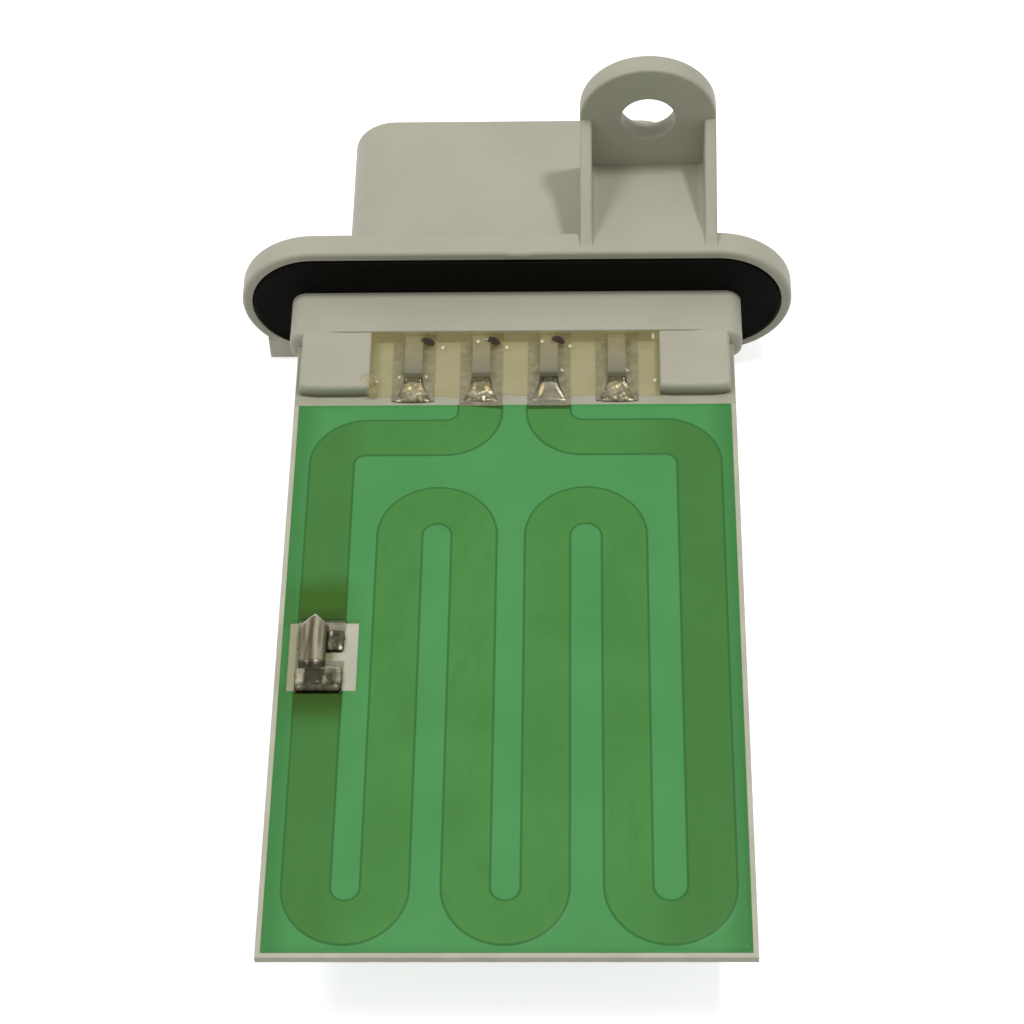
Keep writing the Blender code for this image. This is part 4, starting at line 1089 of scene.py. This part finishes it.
def resin_skin():
    """Height over the ceramic: a valley between tongues, a ridge on each, and a rise at the neck
    and arms that it climbs. Each void is a shallow dip."""
    across = np.linspace(-ARM_INNER - 0.05, ARM_INNER + 0.05, 281)
    share = np.linspace(0, 1, 97) ** 1.15
    x = np.broadcast_to(across, (share.size, across.size))
    end = RESIN_END + 0.22 * ripple(x, 1.0) + 0.175 * sum(bell(x, t, 1.3, 4) for t in TERMINALS)
    y = RESIN_START + (end - RESIN_START) * share[:, None]
    valley = np.interp(y, [-12.0, -11.4, -11.1, -10.5, -6.2, -5.7, -5.3, -4.9],
                       [0.44, 0.46, 0.56, 0.66, 0.75, 0.84, 1.16, 1.86])
    ridge = np.interp(y, [-12.0, -11.3, -10.6, -9.8, -9.2, -6.8, -5.4, -4.9],
                      [0.46, 0.66, 0.84, 1.12, 1.24, 1.4, 1.52, 1.88])
    z = valley + (ridge - valley) * np.minimum(sum(bell(x, t, 1.15, 4) for t in TERMINALS), 1)
    climb = np.exp((np.abs(x) - ARM_INNER) / 0.4)
    z += np.maximum(1.42 - z, 0) * climb * np.clip((y - end) / 0.5, 0, 1)
    z += 0.03 * ripple(x * 1.7 + y * 0.9, 4.0) * np.clip((y - end) / 0.8, 0, 1)
    z -= 0.15 * sum(bell(x, at, wide, 4) * bell(y, up, high, 4) for at, up, wide, high in VOIDS)
    return sheet(x, y, np.maximum(z, 0.435), 0.41)


def drop_skin(centre, radii, seed):
    """A ball whose radius wavers a little with the angle, flattened by its three radii."""
    around = np.linspace(0, 2 * math.pi, 49)[:-1][None, :]
    down = np.linspace(0.05, math.pi - 0.05, 25)[:, None]
    waver = 0.06 * np.sin(2 * around + seed) + 0.04 * np.sin(3 * around - seed)
    ball = np.stack([np.sin(down) * np.cos(around), np.sin(down) * np.sin(around),
                     np.cos(down) * np.ones_like(around)], -1)
    return capped(ball * (1 + waver * np.sin(down))[..., None] * radii + centre)


def make_resin(resin):
    """The fill between the arms, and two drops that ran over the left one's corner."""
    skins = [resin_skin(), *[drop_skin(*drop) for drop in DROPS]]
    make_piece("resin_fill", skins, resin, "sealing_resin", 60)


def joint_skin(middle, seed, smooth):
    """Solder from a tongue's tip to its pad's end: a bell in plan, domed across by a power of the
    distance to its sides, smooth or with frozen ripples."""
    s = np.linspace(0, 1, 61)[:, None]
    u = np.linspace(-1, 1, 61)[None, :]
    y = JOINT_START - JOINT_LENGTH * s - 0.12 * (1 - u ** 2) * s
    x = middle + (0.86 + 0.86 * s ** 1.5 + 0.06 * ripple(s * 9, seed)) * u
    ridge = np.interp(s, [0, 0.12, 0.4, 0.75, 0.95, 1], [0.98, 1.0, 0.88, 0.76, 0.68, 0.56])
    dome = np.clip(1 - np.abs(u) ** 2.2, 0, 1) ** 0.9
    lumps = ripple(x * 2.6 + y * 1.4, seed) + ripple(x * 1.3 - y * 2.7, seed + 2)
    z = PAD_TOP + (ridge - PAD_TOP) * dome
    z = z + 0.04 * (1 - smooth) * lumps * dome * np.clip(s * 4, 0, 1)
    return sheet(x, y, z, SOLDER_LOW)


def make_joints(solder):
    """One joint for each tongue. The third is nearly smooth and the fourth the roughest."""
    for number, (middle, smooth) in enumerate(zip(TERMINALS, JOINT_SMOOTHNESS), 1):
        make_piece(f"front_joint_{number}", [joint_skin(middle, number * 1.9, smooth)], solder,
                   f"front_solder_joint_{number}", 60)


def make_clip(metal):
    """A sprung strip with a gable at its upper end and a foot let down by a step.

    Its section is a shallow half ellipse with a ridge and two grooves, flatter at the foot.
    """
    s = np.linspace(0, 1, 121)[:, None]
    u = np.linspace(-1, 1, 73)[None, :]
    top_end = CLIP_TOP - 1.0 * np.abs(u - 0.08) ** 1.15
    y = CLIP_FOOT + (top_end - CLIP_FOOT) * s
    x = CLIP_X + CLIP_HALF * u + 0.0 * s
    crown = 0.36 * np.sqrt(np.clip(1 - (u * 0.97) ** 2, 0, 1))
    grooves = 0.035 * (bell(u, 0.2, 0.14) - bell(u, -0.12, 0.1)) - 0.02 * bell(u, -0.62, 0.08)
    rise = np.interp(y, [-42.7, -41.9, -41.4, -41.15, -40.95, -40.7, -37.2, -36.0],
                     [0.74, 0.76, 0.8, 0.9, 1.06, 1.17, 1.26, 1.3])
    spread = np.clip((y + 41.5) / 0.7, 0.25, 1)
    nose = 0.12 * np.clip((s - 0.94) / 0.06, 0, 1) ** 2
    top = np.stack([x, y, rise + (crown + grooves) * spread - nose], -1)
    skin, used = two_sided(top, top - [0, 0, 0.26])
    cut = np.tile((top_end - y).ravel(), 2)[used]
    make_piece("fuse_strip", [skin], metal, "fuse_clip", 60, {"cut": cut})


def dome_skin(place, base, height, seed, square):
    """A lump on a rectangle: its height falls off as a power of the distance to each side."""
    left, right, low, high = place
    u, v = np.meshgrid(np.linspace(-1, 1, 81), np.linspace(-1, 1, 81))
    edge = 0.05 * ripple(np.arctan2(v, u) * 5, seed)
    pull = 1 - 0.1 * np.abs(u * v) ** 6
    x = (left + right) / 2 + (right - left) / 2 * u * pull + edge * np.abs(u)
    y = (low + high) / 2 + (high - low) / 2 * v * pull + edge * np.abs(v)
    dome = (1 - np.abs(u) ** square) ** 0.45 * (1 - np.abs(v) ** square) ** 0.45
    lumps = ripple(x * 1.1 + y * 0.8, seed) + ripple(x * 1.3 - y * 1.1, seed + 3)
    return sheet(x, y, base + (height + 0.035 * lumps) * dome, SOLDER_LOW)


def make_fuse_solder(solder):
    """A block over the lower pad, and two lumps on the upper one, the second under the strip."""
    lower = [dome_skin(LOWER_JOINT, 0.57, 0.51, 1.0, 5.0)]
    upper = [dome_skin(UPPER_JOINTS[0], 0.56, 0.5, 4.0, 3.0),
             dome_skin(UPPER_JOINTS[1], 0.56, 0.55, 6.0, 3.0)]
    make_piece("lower_fuse_joint", lower, solder, "fuse_solder_lower", 60)
    make_piece("upper_fuse_joint", upper, solder, "fuse_solder_upper", 60)


# Stage

def make_floor():
    """A plain pale floor. The camera sees it lifted towards white, and its shadow stays."""
    mesh = bpy.data.meshes.new("floor")
    half, level = 3.0, cad_box[0].z - 0.0002
    corners = [(-half, -half), (half, -half), (half, half), (-half, half)]
    mesh.from_pydata([(x, y, level) for x, y in corners], [], [(0, 1, 2, 3)])
    finish = Finish("floor", (0.75, 0.75, 0.75, 1.0), 0.9, specular=0.0)
    finish.put("Emission Color", finish.mix(finish.seen() * FLOOR_LIFT, BLACK, WHITE))
    finish.put("Emission Strength", 1.0)
    mesh.materials.append(finish.material)
    floor = add_object("floor", mesh)


def make_world():
    """An even grey surround for light, which the camera and bright metal see as white."""
    world = bpy.data.worlds.new("surround")
    world.use_nodes = True
    nodes = Nodes(world.node_tree)
    ground = world.node_tree.nodes["Background"]
    nodes.fill(ground.inputs["Color"], WHITE)
    nodes.fill(ground.inputs["Strength"], WORLD_LIGHT + nodes.seen() * (1 - WORLD_LIGHT))
    bpy.context.scene.world = world


def make_lamp(name, place, size, power):
    """A round soft lamp turned towards the part."""
    data = bpy.data.lights.new(name, "AREA")
    data.shape = "DISK"
    data.size, data.energy = size, power
    turn = (Vector(place) - Vector(LAMP_AIM)).to_track_quat("Z", "Y")
    add_object(name, data).matrix_world = Matrix.Translation(place) @ turn.to_matrix().to_4x4()


def make_camera():
    """The place, turn and lens were fitted to the photo's straight edges."""
    data = bpy.data.cameras.new("camera")
    data.sensor_width, data.lens = 36.0, 102.08
    data.clip_start, data.clip_end = 0.01, 20.0
    camera = add_object("camera", data)
    camera.matrix_world = Matrix((
        (0.99960, 0.00466, 0.02800, 0.00706393),
        (0.01287, 0.80496, -0.59319, -0.17592937),
        (-0.02530, 0.59331, 0.80458, 0.20590607),
        (0.0, 0.0, 0.0, 1.0)))
    bpy.context.scene.camera = camera


def dress_nodes():
    """CAD nodes whose shape is right keep it and take the finish of their slot."""
    finishes = {"conductor_print": pad_finish(), "terminal_metal": terminal_finish(),
                "solder": solder_finish(), "resistor_print": print_finish()}
    slots = {part["node"]: part["material_slot"] for part in frame["record"]["subparts"]}
    for name, node in frame["nodes"].items():
        if slots.get(name) in finishes:
            node.data.materials.clear()
            node.data.materials.append(finishes[slots[name]])
    return finishes


def main():
    """Builds the stage, dresses the CAD nodes that stay, and makes the new pieces."""
    make_camera()
    make_world()
    make_floor()
    for lamp in LAMPS:
        make_lamp(*lamp)
    finishes = dress_nodes()
    make_housing(plastic_finish())
    make_gasket(rubber_finish())
    make_board(ceramic_finish())
    make_glazes()
    make_joints(finishes["solder"])
    make_resin(resin_finish())
    make_clip(clip_finish())
    make_fuse_solder(fuse_solder_finish())
    bpy.context.scene.view_settings.view_transform = "Standard"


main()
